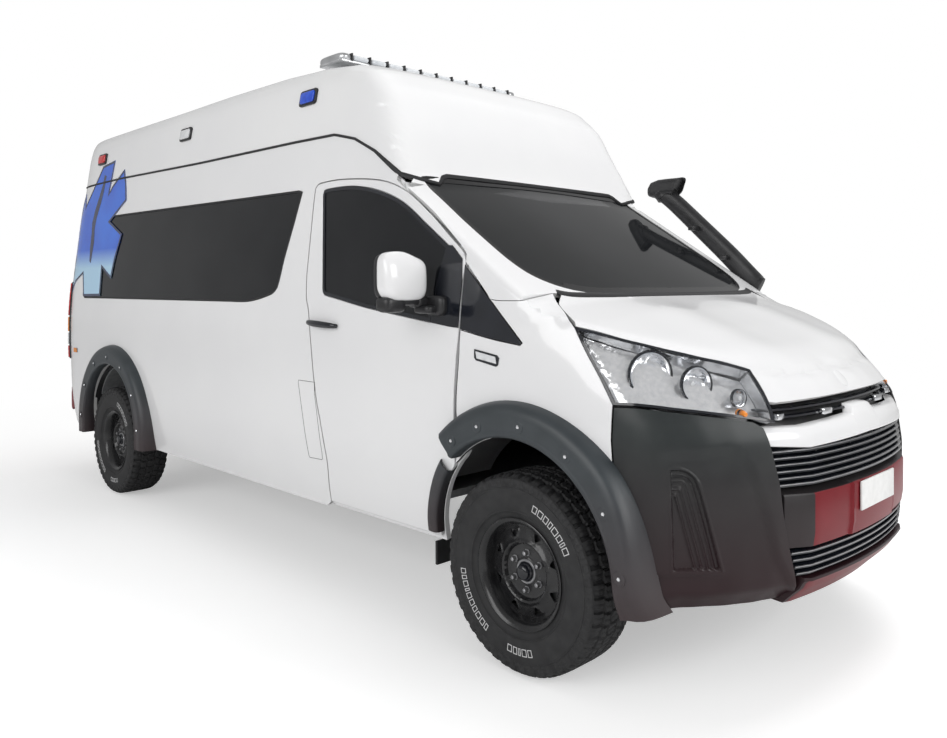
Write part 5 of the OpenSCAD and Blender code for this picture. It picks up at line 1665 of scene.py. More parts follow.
# ---------------------------------------------------------------- mirrors
def blob(lo, hi, power=(3.2, 3.2, 3.2), seg=(36, 20)):
    """A rounded block: (vertices, faces) of a superellipsoid."""
    lo, hi = np.array(lo, float), np.array(hi, float)
    c_, h_ = (lo + hi) / 2, np.abs(hi - lo) / 2
    v_, f_ = [], []
    sg = lambda t_, e_: math.copysign(abs(t_) ** e_, t_)
    nu, nv = seg
    for j in range(nv + 1):
        th = -math.pi / 2 + math.pi * j / nv
        for i in range(nu):
            ph = 2 * math.pi * i / nu
            v_.append(c_ + h_ * [sg(math.cos(th), 2 / power[2]) * sg(math.cos(ph), 2 / power[0]),
                                 sg(math.cos(th), 2 / power[2]) * sg(math.sin(ph), 2 / power[1]),
                                 sg(math.sin(th), 2 / power[2])])
    for j in range(nv):
        for i in range(nu):
            k = (i + 1) % nu
            f_.append([j * nu + i, j * nu + k, (j + 1) * nu + k, (j + 1) * nu + i])
    return np.array(v_), f_


mx0, mx1 = FX - .560, FX - .448
cap_v, cap_f = blob((mx0 + .012, -1.2215, 1.392), (mx1, -1.004, 1.5895), (3.4, 4.6, 4.6), (48, 28))
top = smoothstep(1.50, 1.59, cap_v[:, 2])
inner = smoothstep(-1.13, -1.03, cap_v[:, 1])
cap_v[:, 2] -= .022 * inner * top
cap_v[:, 0] -= .020 * smoothstep(1.50, 1.59, cap_v[:, 2]) * smoothstep(mx0 + .06, mx1, cap_v[:, 0])
cap_v[:, 1] += .010 * smoothstep(1.45, 1.39, cap_v[:, 2]) * smoothstep(-1.15, -1.22, cap_v[:, 1])
both(joined, "mirror_cap", [(cap_v, cap_f)], [PAINT], slot="body_white", replaces=["mirror_right"], sharp=60,
     body="door_right", left_for=["mirror_left"])
parts = [blob((mx0 + .006, -1.214, 1.344), (mx1 - .018, -1.108, 1.412), (4, 4, 3.6)),
         blob((mx0 + .010, -1.16, 1.372), (mx1 - .022, -1.015, 1.402), (4, 5, 4)),
         blob((mx0 + .018, -1.055, 1.362), (mx1 - .020, -.985, 1.410), (4, 4, 4)),
         blob((mx0 + .040, -1.045, 1.338), (mx1 + .028, -.958, 1.372), (4, 4, 4)),
         blob((mx0 + .055, -1.000, 1.330), (mx1 + .060, -.944, 1.412), (4, 3, 4))]
both(joined, "mirror_arm", parts, [PLASTIC], slot="trim_black", sharp=60, body="door_right")
bez = blob((mx0 + .001, -1.217, 1.396), (mx0 + .045, -1.008, 1.583), (5, 5, 5))
bez[0][:, 2] -= .018 * smoothstep(-1.13, -1.03, bez[0][:, 1]) * smoothstep(1.50, 1.58, bez[0][:, 2])
both(joined, "mirror_bezel", [bez], [PLASTIC], slot="trim_black", sharp=60, body="door_right")
gl = blob((mx0 - .001, -1.207, 1.408), (mx0 + .010, -1.022, 1.562), (2.2, 6, 6))
both(joined, "mirror_face", [gl], [MIRRORED], slot="dark_glass", sharp=60, body="door_right")

# ---------------------------------------------------------------- snorkel on the left side
SN = [(FX + .000, .940, 1.430), (FX - .060, .985, 1.468), (FX - .20, .997, 1.607), (FX - .38, .998, 1.775),
      (FX - .53, .997, 1.914), (FX - .60, .996, 1.972), (FX - .640, .995, 2.000)]
sn_path = spline(SN, .02)
t_dir = unit(np.vstack([sn_path[1:] - sn_path[:-1], sn_path[-1:] - sn_path[-2:-1]]))
s_out = np.tile([0, 1.0, 0], (len(sn_path), 1))
s_up = unit(np.cross(t_dir, s_out))
s_wide = np.interp(np.linspace(0, 1, len(sn_path)), [0, .08, .2, .85, 1], [.060, .057, .054, .050, .047])
s_deep = np.interp(np.linspace(0, 1, len(sn_path)), [0, .08, .2, .85, 1], [.018, .030, .034, .036, .043])
rr = np.linspace(0, 2 * math.pi, 22, endpoint=False)
pw = lambda c_: np.sign(c_) * np.abs(c_) ** .72
sweep("snorkel_body", sn_path, (s_up, s_out), lambda i: np.column_stack([pw(np.cos(rr)) * s_wide[i],
    pw(np.sin(rr)) * s_deep[i]]), [PLASTIC], slot="trim_black", replaces=["snorkel"], sharp=60)
hd = np.array([FX - .660, .995, 2.022])
turned("snorkel_neck", [(.0, -.060), (.046, -.060), (.048, -.030), (.0515, -.026), (.0515, -.016),
                        (.047, -.012), (.044, .010), (.030, .026), (0, .030)], hd + [.010, 0, -.006],
                        unit((-.55, 0, .85)), [PLASTIC], seg=36, slot="trim_black", sharp=40)
rings, sides_ = [], 30
for x_, w_, h_, drop in ((-.062, .018, .014, .016), (-.056, .034, .030, .012), (-.034, .048, .046, .004),
                         (.01, .0515, .051, -.002), (.06, .0525, .052, -.002), (.105, .0535, .051, -.002),
                         (.130, .054, .052, -.001), (.136, .0545, .0525, -.001), (.136, .049, .047, -.001),
                         (.112, .047, .045, -.001)):
    rings.append([hd + [x_ + .030 * math.sin(a) * smoothstep(.05, .12, x_), w_ * pw(math.cos(a)),
                        h_ * pw(math.sin(a)) - drop] for a in np.linspace(0, 2 * math.pi, sides_,
                            endpoint=False)])
new_piece("snorkel_head", *loft(rings), [PLASTIC], slot="trim_black", sharp=45)
bars = [rounded(hd + [.098, y - .002, -.042 + .004 * abs(k)], hd + [.110, y + .002, .042 - .004 * abs(k)],
                .001) for k, y in zip((-2, -1, 0, 1, 2), (-.030, -.015, 0, .015, .030))]
joined("snorkel_grille", bars, [RUBBER], slot="trim_black")
br = [rounded(np.array([FX - .412, .905, 1.760]), np.array([FX - .372, .965, 1.785]), .004),
      rounded(np.array([FX - .225, .925, 1.590]), np.array([FX - .190, .965, 1.612]), .004)]
joined("snorkel_brackets", br, [PLASTIC], slot="trim_black")

# ---------------------------------------------------------------- roof light bar
lb_lo, lb_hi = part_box("light_bar")
bx0, bx1, bz1 = lb_lo.x + .004, lb_hi.x - .004, lb_hi.z
bz0 = bz1 - .052
parts, idx = [], []
parts.append(rounded(np.array([bx0 + .010, -.668, bz0]), np.array([bx1 - .010, .668, bz0 + .016]), .004))
idx.append(0)
for y in (-.48, .48):
    base_z = float(on_top([(bx0 + .12, y)])[0][2])
    parts.append(rounded(np.array([bx0 + .06, y - .030, base_z - .006]),
                         np.array([bx1 - .06, y + .030, bz0 + .006]), .004))
    idx.append(0)
for k in range(11):
    y = -.605 + k * .121
    parts.append(rounded(np.array([bx0 + .004, y - .0045, bz0 + .008]),
                         np.array([bx1 - .004, y + .0045, bz1 - .001]), .002))
    idx.append(1)
joined("light_bar_frame", parts, [SILVER, PLASTIC], idx, slot="bar_silver", sharp=35, replaces=["light_bar"])
lens_parts = []
for k in range(10):
    y = -.605 + k * .121
    lens_parts.append(blob((bx0 + .001, y + .006, bz0 + .010), (bx1 - .001, y + .115, bz1 - .002),
                           (7, 9, 3.2), (44, 14)))
joined("light_bar_lenses", lens_parts, [BARTOP], slot="lamp_clear", sharp=60)
ends = [blob((bx0 + .001, sg * .602, bz0 + .002), (bx1 - .001, sg * .674, bz1), (5, 3, 3.4), (40, 14))
        for sg in (-1, 1)]
joined("light_bar_ends", ends, [SILVER], slot="bar_silver", sharp=60)


# ---------------------------------------------------------------- strobes, repeaters, markers, fuel flap
def round_rect(cx_, cz_, w_, h_, r=.012, skew=0.0):
    pts_ = []
    for sx, sz, a0 in ((1, 1, 0), (-1, 1, 90), (-1, -1, 180), (1, -1, 270)):
        for a in np.linspace(a0, a0 + 90, 5):
            z = sz * (h_ / 2 - r) + r * math.sin(math.radians(a))
            pts_.append((cx_ + sx * (w_ / 2 - r) + r * math.cos(math.radians(a)) + skew * z, cz_ + z))
    return np.array(pts_)


SIDE_UP = unit((0, -1, .28))
for tag, x_, z_, mat in (("front", FX - 1.560, 2.4245, BLUE), ("middle", FX - 2.960, 2.4245, CLEAR_WHITE),
                         ("rear", FX - 4.360, 2.4245, RED)):
    q = S(round_rect(x_, z_, .150, .080, .016, .10))
    both(panel, f"strobe_base_{tag}", q, SIDE_UP, t=.014, t0=.011, res=.03, mats=[PLASTIC], bevel=.004,
         slot="trim_black")
    q = S(round_rect(x_, z_, .124, .058, .014, .10))
    dome = lambda p, n, x_=x_, z_=z_: p + n * (.006 * (1 - np.clip(np.abs(p[:, 0] - x_) / .064, 0,
        1) ** 4) * (1 - np.clip(np.abs(p[:, 2] - z_) / .031, 0, 1) ** 4))[:, None]
    both(panel, f"strobe_lens_{tag}", q, SIDE_UP, t=.012, t0=.0165, res=.012, mats=[mat], bevel=.003,
         warp=dome, slot={"front": "lamp_blue", "middle": "lamp_clear", "rear": "lamp_red"}[tag],
         replaces=["side_strobes"] if tag == "front" else ())
rp = S([(1.812, 1.204), (1.935, 1.186), (1.946, 1.176), (1.940, 1.148), (1.930, 1.142), (1.822, 1.160),
        (1.812, 1.170)])
both(panel, "side_repeater_base", rp, WAY_R, t=.006, t0=.004, res=.03, mats=[GLOSS], bevel=.0015,
     slot="trim_black")
rp2 = S([(1.822, 1.196), (1.928, 1.180), (1.934, 1.153), (1.828, 1.168)])
both(panel, "side_repeater_lens", rp2, WAY_R, t=.005, t0=.0065, res=.02, mats=[CLEAR_WHITE], bevel=.0015,
     slot="lamp_clear")
ff_line = S(np.vstack([spline([(.555, .985), (.700, .985)], .02),
                       spline([(.694, .93), (.716, .80), (.744, .625)], .02)[:-1], [(.742, .615)],
                       spline([(.735, .610), (.63, .606)], .02),
                       spline([(.622, .62), (.590, .78), (.553, .97)], .02)]))
fpath = thin(ff_line, .006)
sweep("fuel_flap_line", snap(fpath), skin_frames(snap(fpath), True), [(-.0012, -.002), (-.0012, .0006),
    (.0012, .0006), (.0012, -.002)], [RUBBER], closed=True, sharp=0, slot="trim_black")
mk = S(round_rect(-2.588, .974, .075, .034, .008))
both(panel, "rear_side_marker", mk, WAY_R, t=.005, t0=.005, res=.02, mats=[AMBER, PLASTIC], bevel=.0015,
     slot="lamp_red")

# ---------------------------------------------------------------- blue graphic on the rear corner
BLUE_SIDE = finish_mat("film_blue_side", (.006, .085, .60), (.012, .16, .78), 2.4, (.15, .25), coat=.5,
                       low=((.42, .66, .86), 1.60, 1.74))
ZIG = [(-2.300, 2.372), (-2.075, 2.392), (-2.098, 2.270), (-2.140, 2.150), (-2.085, 2.200), (-1.880, 2.306),
       (-1.836, 2.210), (-1.792, 2.073), (-2.055, 1.938), (-1.808, 1.835), (-1.893, 1.655), (-1.932, 1.516),
       (-2.120, 1.598), (-2.110, 1.394), (-2.444, 1.390), (-2.500, 1.560), (-2.640, 1.500), (-2.720, 1.420),
       (-2.760, 1.560), (-2.770, 1.80), (-2.740, 2.06), (-2.640, 2.190), (-2.590, 2.090), (-2.520, 2.160),
       (-2.40, 2.27)]
zig = S(np.vstack([spline([ZIG[i], ZIG[(i + 1) % len(ZIG)]], .03)[:-1] for i in range(len(ZIG))]))
both(panel, "corner_graphic", zig, WAY_R, t=.0012, t0=.0022, res=.05, mats=[BLUE_SIDE], bevel=0,
     slot="lamp_blue")
both(border, "corner_graphic_edge", zig, WAY_R, .017, [NAVY_FILM], t0=.0030, t=.001, slot="trim_black")
CRACK = [(-2.255, 2.300), (-2.215, 2.290), (-2.235, 2.200), (-2.270, 2.100), (-2.330, 1.980), (-2.345, 1.900),
         (-2.330, 1.800), (-2.345, 1.700), (-2.355, 1.640), (-2.385, 1.655), (-2.400, 1.760), (-2.398, 1.860),
         (-2.410, 1.950), (-2.380, 2.040), (-2.320, 2.150), (-2.275, 2.230)]
both(panel, "corner_graphic_crack", S(CRACK), WAY_R, t=.001, t0=.0030, res=.05, mats=[NAVY_FILM], bevel=0,
     slot="trim_black")


# ---------------------------------------------------------------- brake discs behind the wheels
disc_b = turned("brake_disc_front_right", [(.060, .030), (.150, .030), (.156, .026), (.156, .012),
                                           (.150, .008), (.060, .008), (.060, .030)], hub_at, (0, -1, 0),
                                           [ENGINE], seg=56, body="wheel_front_right", slot="engine_grey",
                                           sharp=40)
all_wheels(disc_b, "brake_disc")


def left_only(ob, name, body="body"):
    """Moves a piece made on the right to the left."""
    c_ = other_side(ob, name, body)
    bpy.data.objects.remove(ob)
    return c_


# ---------------------------------------------------------------- tailgate and rear corner
BACK = (-1, 0, .04)
R_ = on_rear
gate_line = R_(loop([[(-.70, .700), (.70, .700)], [(.775, .706), (.808, .740)], [(.813, .90), (.813, 1.50),
    (.806, 1.95), (.798, 2.10)], [(.780, 2.160), (.745, 2.184)], [(.60, 2.188), (-.60, 2.188)],
    [(-.745, 2.184), (-.780, 2.160)], [(-.798, 2.10), (-.806, 1.95), (-.813, 1.50), (-.813, .90)],
    [(-.808, .740), (-.775, .706)]], .03))
gate_win = R_(loop([[(-.66, 1.385), (.66, 1.385)], [(.695, 1.392), (.708, 1.42)],
                    [(.706, 1.60), (.690, 1.87)], [(.680, 1.90), (.650, 1.912)],
                    [(.30, 1.918), (-.30, 1.918)], [(-.650, 1.912), (-.680, 1.90)],
                    [(-.690, 1.87), (-.706, 1.60)], [(-.708, 1.42), (-.695, 1.392)]], .03))


def gate_shape(p, n):
    """A recess for the plate and the raised rail above it."""
    y, z = np.abs(p[:, 1]), p[:, 2]
    rec = smoothstep(.290, .270, y) * smoothstep(.975, .995, z) * smoothstep(1.190, 1.170, z)
    rail = smoothstep(.330, .310, y) * smoothstep(1.195, 1.210, z) * smoothstep(1.275, 1.260, z)
    fold = np.exp(-((z - 1.335) / .010) ** 2) * smoothstep(.80, .74, y)
    return p + n * (-.014 * rec + .012 * rail - .004 * fold)[:, None]


panel("tailgate_skin", gate_line, BACK, t=.020, holes=[gate_win], res=.030, mats=[PAINT, INNER], bevel=.003,
      body="tailgate", slot="body_white", warp=gate_shape, replaces=["tailgate"])
gate_in = R_(loop([[(-.70, .735), (.70, .735)], [(.770, .76)], [(.778, .90), (.778, 1.50), (.765, 2.08)],
                   [(.72, 2.145)], [(.60, 2.155), (-.60, 2.155)], [(-.72, 2.145)],
                   [(-.765, 2.08), (-.778, 1.50), (-.778, .90)], [(-.770, .76)]], .04))
gate_in_hole = R_(loop([[(-.68, 1.37), (.68, 1.37)], [(.722, 1.40)], [(.718, 1.60), (.700, 1.89)],
                        [(.67, 1.93)], [(.30, 1.935), (-.30, 1.935)], [(-.67, 1.93)],
                        [(-.700, 1.89), (-.718, 1.60)], [(-.722, 1.40)]], .04))
panel("tailgate_lining", gate_in, BACK, t=.016, t0=-.022, holes=[gate_in_hole], res=.06, mats=[LINING],
      bevel=.003, body="tailgate", slot="wall_white")
window("tailgate_window", gate_win, BACK, TINT, body="tailgate", slot="dark_glass",
       replaces=["tailgate_glass"])
border("tailgate_window_seal", gate_win, BACK, .016, [RUBBER], body="tailgate", slot="trim_black")
gx = float(on_rear([(0, 1.08)])[0][0])
pl = rounded(np.array([gx + .004, -.255, 1.020]), np.array([gx + .010, .255, 1.130]), .002)
joined("rear_plate_blank", [pl], [PLATE], body="tailgate", slot="body_white", sharp=40)
hl = blob((gx - .010, -.085, 1.176), (gx + .014, .085, 1.200), (3, 6, 3))
joined("tailgate_handle", [hl], [GLOSS], body="tailgate", slot="trim_black", sharp=60)
frame_out = R_(loop([[(-.80, .42), (.80, .42)], [(.832, .46)], [(.833, .90), (.833, 1.50), (.826, 1.95),
    (.818, 2.16)], [(.78, 2.232)], [(.60, 2.237), (-.60, 2.237)], [(-.78, 2.232)],
    [(-.818, 2.16), (-.826, 1.95), (-.833, 1.50), (-.833, .90)], [(-.832, .46)]], .04))
frame_in = R_(loop([[(-.70, .745), (.70, .745)], [(.762, .77)], [(.770, .90), (.770, 1.50), (.757, 2.06)],
                    [(.71, 2.128)], [(.60, 2.138), (-.60, 2.138)], [(-.71, 2.128)],
                    [(-.757, 2.06), (-.770, 1.50), (-.770, .90)], [(-.762, .77)]], .04))
panel("rear_opening_frame", frame_out, BACK, t=.020, t0=-.0255, holes=[frame_in], res=.06,
      mats=[PAINT, INNER], bevel=.003, slot="body_white")
rs_ = frame_in + normals(frame_in) * -.0245
sweep("tailgate_rubber", rs_, skin_frames(rs_, True), [(-.006, 0), (-.004, .007), (.004, .007), (.006, 0),
                                                       (.004, -.005), (-.004, -.005)], [RUBBER], closed=True,
                                                       sharp=60, slot="trim_black")
low_out = R_(loop([[(-.82, .40), (.82, .40)], [(.825, .55), (.825, .690)], [(.60, .692), (-.60, .692)],
                   [(-.825, .690), (-.825, .55)]], .05))
panel("rear_sill_panel", low_out, BACK, t=.012, t0=-.004, res=.06, mats=[PAINT, INNER], bevel=.003,
      slot="body_white")
for k, y in enumerate((-.50, .50)):
    a = on_rear([(y, 2.213)])[0]
    hb = [rounded(a + [.000, -.030, -.010], a + [.045, .030, .014], .004)]
    joined(f"tailgate_hinge_cover_{k}", hb, [PAINT], slot="body_white", sharp=40)

TAIL_WAY = (-.80, -.60, 0)


def tail_outline(z0, z1, g=0.0):
    inner = on_rear([(-.848 - g, z) for z in np.linspace(z0 + g, z1 - g, 12)])
    outer = S([(GATE + .118 - g, z) for z in np.linspace(z0 + g, z1 - g, 12)])
    up = snap(spline([inner[-1], (inner[-1] + outer[-1]) / 2 + [-.02, -.02, 0], outer[-1]], .02))
    dn = snap(spline([outer[0], (inner[0] + outer[0]) / 2 + [-.02, -.02, 0], inner[0]], .02))
    return thin(np.vstack([inner, up[1:], outer[::-1][1:], dn[1:-1]]), .006)


both(panel, "tail_lamp_base", tail_outline(.900, 1.500), TAIL_WAY, t=.013, t0=.010, res=.04, mats=[PLASTIC],
     bevel=.003, slot="trim_black", replaces=["tail_lights"])
for tag, z0, z1, mat, slot_ in (("stop", 1.235, 1.494, RED, "lamp_red"),
                                ("turn", 1.110, 1.229, AMBER, "lamp_red"),
                                ("reverse", 1.010, 1.104, CLEAR_WHITE, "lamp_clear"),
                                ("tail", .906, 1.004, RED, "lamp_red")):
    fl = lambda p, n: p + n * (.0018 * np.abs(np.sin(p[:, 2] * 210)))[:, None]
    both(panel, f"tail_lamp_{tag}", tail_outline(z0, z1, .004), TAIL_WAY, t=.008, t0=.0165, res=.012,
         mats=[mat], bevel=.0015, warp=fl, slot=slot_)

# rear step bumper
RB0, RB1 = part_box("rear_bumper")[0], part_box("rear_bumper")[1]
rb_y = np.concatenate([np.linspace(-.912, -.80, 8), np.linspace(-.70, .70, 9), np.linspace(.80, .912, 8)])


def rear_ring(y):
    back = RB0.x + .002 + .075 * float(smoothstep(.78, .93, abs(y))) ** 1.5
    front_x = RB1.x + .030
    zs0, zs1 = RB0.z - .002, RB1.z + .006
    return [(front_x, zs0 + .03), (back + .030, zs0), (back + .006, zs0 + .012), (back, zs0 + .035),
            (back + .001, zs1 - .050), (back + .007, zs1 - .040), (back + .008, zs1 - .012),
            (back + .018, zs1), (front_x, zs1)]


rings = [[(x_, y, z_) for x_, z_ in rear_ring(y)] for y in rb_y]
# The rear step bumper in the painted red floor reflection.
new_piece("rear_bumper_shell", *loft(rings), [RED_FLOOR_REFLECTION], bevel=.004, slot="bumper_maroon",
          replaces=["rear_bumper"], sharp=40)
treads = []
for k in range(9):
    x_ = RB0.x + .026 + k * .010
    treads.append(rounded(np.array([x_, -.56, RB1.z + .004]), np.array([x_ + .004, .56, RB1.z + .0095]),
                          .001))
joined("rear_step_treads", treads, [RUBBER], slot="trim_black", sharp=40)
refl = [rounded(np.array([RB0.x - .001, sg * .62, .545]), np.array([RB0.x + .006, sg * .74, .580]), .002)
        for sg in (-1, 1)]
joined("rear_reflectors", refl, [RED], slot="lamp_red", sharp=40)

# ---------------------------------------------------------------- left side: sliding door lines and handle
sd = S(loop([[(-.555, .432), (.52, .432)], [(.552, .46)], [(.552, .80), (.552, 1.50), (.552, 1.965)],
             [(.52, 2.004)], [(-.50, 2.006)], [(-.582, 1.99)], [(-.586, 1.50), (-.586, .80)], [(-.584, .46)]],
             .03))
sd = snap(thin(sd, .006))
left_only(sweep("sliding_door_line_r", sd, skin_frames(sd, True), [(-.0022, -.002), (-.0022, .0007),
    (.0022, .0007), (.0022, -.002)], [RUBBER], closed=True, sharp=0, slot="trim_black"), "sliding_door_line")
left_only(strip("sliding_track_r",
                [tuple(q) for q in S([(x_, 1.285) for x_ in np.linspace(-1.98, -.62, 12)])], .030, .004,
                [PLASTIC], slot="trim_black"), "sliding_door_track")
hx2 = np.linspace(.270, .510, 24)
p2 = on_side(np.column_stack([hx2, np.full(24, 1.262)]))
fr2 = skin_frames(p2)
p2 = p2 + normals(p2) * (.012 + .022 * np.sin(np.linspace(0, math.pi, 24)) ** .6)[:, None]
grip = lambda i: [(math.cos(a) * (.010 + .006 * math.sin(math.pi * i / 23) ** .7), math.sin(a) * .008)
                  for a in np.linspace(0, 2 * math.pi, 14, endpoint=False)]
left_only(sweep("slide_handle_r", p2, fr2, grip, [GLOSS], slot="trim_black", sharp=60), "sliding_door_handle")

# ---------------------------------------------------------------- cab interior
DB0, DB1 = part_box("dashboard")[0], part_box("dashboard")[1]
ys_ = np.linspace(DB0.y + .005, DB1.y - .005, 61)


def dash_ring(y):
    drv = math.exp(-((y + .38) / .17) ** 4)
    mid_ = math.exp(-((y) / .20) ** 4)
    top_z = 1.285 + .070 * drv + .020 * mid_
    face = 1.452 - .050 * drv - .060 * mid_
    low_z = .985 + .055 * (1 - mid_)
    return [(1.868, 1.150), (1.868, 1.300), (1.760, 1.318), (1.640, top_z + .006), (face + .085, top_z),
            (face + .030, top_z - .022), (face + .018, top_z - .075), (face, 1.160),
            (face + .020, low_z + .03), (face + .060, low_z), (1.70, .990)]


rings = [[(x_, y, z_) for x_, z_ in dash_ring(y)] for y in ys_]
new_piece("dashboard_moulding", *loft(rings), [DASH], slot="interior_grey", replaces=["dashboard"], sharp=50)
vents = [rounded(np.array([1.398, y - .055, 1.195]), np.array([1.43, y + .055, 1.245]), .006)
         for y in (-.06, .07)]
vents += [rounded(np.array([1.440, y - .05, 1.19]), np.array([1.475, y + .05, 1.24]), .006)
          for y in (-.72, .62)]
joined("dashboard_vents", vents, [GLOSS], slot="trim_black", sharp=40)
SWC = np.array([FX - .585, -.38, 1.178])
ax = unit((-.88, 0, .47))
wheel_e = unit(np.cross([0, 1.0, 0], ax))
tt = np.linspace(0, 2 * math.pi, 49)[:-1]
path = SWC + np.outer(np.cos(tt), wheel_e) * .180 + np.outer(np.sin(tt), [0, 1.0, 0]) * .180
radial = unit(path - SWC)
cs = [(math.cos(a) * .0135, math.sin(a) * .0150) for a in np.linspace(0, 2 * math.pi, 12, endpoint=False)]
sweep("steering_wheel_rim", path, (radial, np.tile(ax, (48, 1))), cs, [PLASTIC], closed=True, sharp=60,
      slot="trim_black")
hubp = blob((-.055, -.060, -.020), (.055, .060, .022), (3, 3, 3))
M_ = np.column_stack([wheel_e, [0, 1.0, 0], ax])
hub_part = (hubp[0] @ M_.T + SWC - ax * .022, hubp[1])
spokes = [hub_part]
for a in (math.radians(90), math.radians(270), math.radians(180)):
    d_ = wheel_e * math.cos(a) + np.array([0, 1.0, 0]) * math.sin(a)
    s_ = np.cross(ax, d_)
    vv_, ff_ = rounded(np.array([.03, -.016, -.008]), np.array([.176, .016, .004]), .003)
    spokes.append((vv_[:, :1] * d_ + vv_[:, 1:2] * s_ + vv_[:, 2:] * ax + SWC - ax * .012, ff_))
joined("steering_wheel_spokes", spokes, [DASH], slot="interior_grey", sharp=50)
tube("steering_column", [SWC - ax * .03, SWC - ax * .14], .030, [DASH], sides=18, slot="interior_grey")


def cushion(name, lo, hi, mat, slot_, face, grooves=3, deep=.010, power=(5.5, 5.5, 5.5),
            replaces=()):
    """A crowned pad with sewn channels. face is the axis (0, 1, 2) and sign of its sitting side."""
    v_, f_ = blob(lo, hi, power, (56, 36))
    lo, hi = np.array(lo, float), np.array(hi, float)
    c_, h_ = (lo + hi) / 2, (hi - lo) / 2
    q = (v_ - c_) / h_
    ax_, sg_ = face
    o1, o2 = [i for i in range(3) if i != ax_]
    crown = (1 - np.clip(np.abs(q[:, o1]), 0, 1) ** 2.2) * (1 - np.clip(np.abs(q[:, o2]), 0, 1) ** 2.2)
    up = np.clip(q[:, ax_] * sg_, 0, 1)
    run = (q[:, o2] + 1) / 2 * (grooves + 1)
    ch = np.exp(-((run - np.round(run)) / .085) ** 2) * (np.round(run) > 0) * (np.round(run) < grooves + 1)
    side_gr = np.exp(-((np.abs(q[:, o1]) - .74) / .035) ** 2)
    v_[:, ax_] -= sg_ * h_[ax_] * .22 * (1 - crown) * up
    v_[:, ax_] -= sg_ * deep * np.maximum(ch * (np.abs(q[:, o1]) < .74), side_gr) * up
    pull = .030 * (1 - np.clip(np.abs(q[:, o2]), 0, 1) ** 2) * np.clip(np.abs(q[:, o1]), 0, 1) ** 6
    v_[:, o1] -= np.sign(q[:, o1]) * pull * h_[o1]
    ob_ = joined(name, [(v_, f_)], [mat], slot=slot_, sharp=75, subdiv=1, replaces=replaces)
    return ob_


for sg, side in ((-1, "right"), (1, "left")):
    y0, y1 = sorted((sg * .155, sg * .645))
    cushion("seat_cushion_" + side, (.705, y0, .835), (1.180, y1, .985), FABRIC, "seat_fabric", (2, 1), 2,
            replaces=["cab_seats"] if sg < 0 else ())
    cushion("seat_back_" + side, (.694, y0 + .01, .985), (.832, y1 - .01, 1.590), FABRIC, "seat_fabric",
            (0, 1), 3)
    cushion("seat_headrest_" + side, (.700, sg * .40 - .125, 1.625), (.800, sg * .40 + .125, 1.792), FABRIC,
            "seat_fabric", (0, 1), 0, .006, (3.5, 4, 4))
    st = []
    for dy in (-.06, .06):
        st.append(rounded(np.array([.742, sg * .40 + dy - .007, 1.56]),
                          np.array([.756, sg * .40 + dy + .007, 1.66]), .002))
    joined("headrest_stays_" + side, st, [STEEL], slot="steel_grey", sharp=40)
    joined("seat_base_" + side, [rounded(np.array([.730, y0 + .03, .602]), np.array([1.150, y1 - .03, .840]),
                                         .015, 3), rounded(np.array([.76, y0 - .006, .80]),
                                                           np.array([1.05, y0 + .022, .87]), .008),
                                                           rounded(np.array([.76, y1 - .022, .80]),
                                                               np.array([1.05, y1 + .006, .87]), .008)],
                                                               [DASH], slot="interior_grey", sharp=50)
BN0, BN1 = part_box("attendant_bench")[0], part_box("attendant_bench")[1]
bl = (BN1.x - BN0.x - .006) / 3
body_ = [rounded(np.array([BN0.x + .003 + k * bl + .002, BN0.y + .002, BN0.z + .001]),
                 np.array([BN0.x + .003 + (k + 1) * bl - .002, BN1.y - .012, 1.020]), .006) for k in range(3)]
joined("bench_lockers", body_, [LINING], slot="wall_white", replaces=["attendant_bench"], sharp=40)
for k in range(3):
    cushion(f"bench_pad_{k}", (BN0.x + .006 + k * bl, BN0.y + .004, 1.020), (BN0.x + k * bl + bl - .002,
        BN1.y - .002, 1.118), VINYL, "bench_vinyl", (2, 1), 0, .006, (7, 7, 4))
latches = [rounded(np.array([BN0.x + (k + .5) * bl - .03, BN1.y - .014, .955]),
                   np.array([BN0.x + (k + .5) * bl + .03, BN1.y - .006, .975]), .003) for k in range(3)]
joined("bench_latches", latches, [STEEL], slot="steel_grey", sharp=40)


# ---------------------------------------------------------------- camera, light and floor
cam_data = bpy.data.cameras.new("camera")
cam = bpy.data.objects.new("camera", cam_data)
bpy.context.scene.collection.objects.link(cam)
bpy.context.scene.camera = cam
yaw, pitch, roll = math.radians(135.67), math.radians(-.76), math.radians(-.29)
look = Vector((math.cos(yaw) * math.cos(pitch), math.sin(yaw) * math.cos(pitch), math.sin(pitch)))
q = look.to_track_quat("-Z", "Y")
cam.rotation_mode = "QUATERNION"
cam.rotation_quaternion = q @ Quaternion((0, 0, 1), roll)
cam.location = (4.1045, -3.226, 1.447)
cam_data.sensor_width = 36
cam_data.lens = 31.2862
cam_data.shift_x = .0016895
cam_data.shift_y = -.0752904
cam_data.clip_end = 200

for ob in list(bpy.data.objects):
    if ob.name in ("Cube", "Light", "Camera"):
        bpy.data.objects.remove(ob)


def lamp(name, where, target, size, power):
    """A large soft lamp that points at target and is not seen by the camera."""
    d = bpy.data.lights.new(name, "AREA")
    d.shape = "RECTANGLE"
    d.size, d.size_y = size
    d.energy = power
    o = bpy.data.objects.new(name, d)
    bpy.context.scene.collection.objects.link(o)
    o.location = where
    o.rotation_mode = "QUATERNION"
    o.rotation_quaternion = (Vector(target) - Vector(where)).to_track_quat("-Z", "Y")
    o.visible_camera = False
    return o


lamp("key", (1.0, 3.0, 8.0), (0.3, -.2, .6), (7, 4), 415).visible_glossy = False
lamp("side_fill", (1.5, -9.5, 4.6), (0, 0, 1.1), (10, 4), 390)
lamp("front_fill", (9.5, .5, 4.2), (1.5, 0, 1.1), (5, 4), 280)

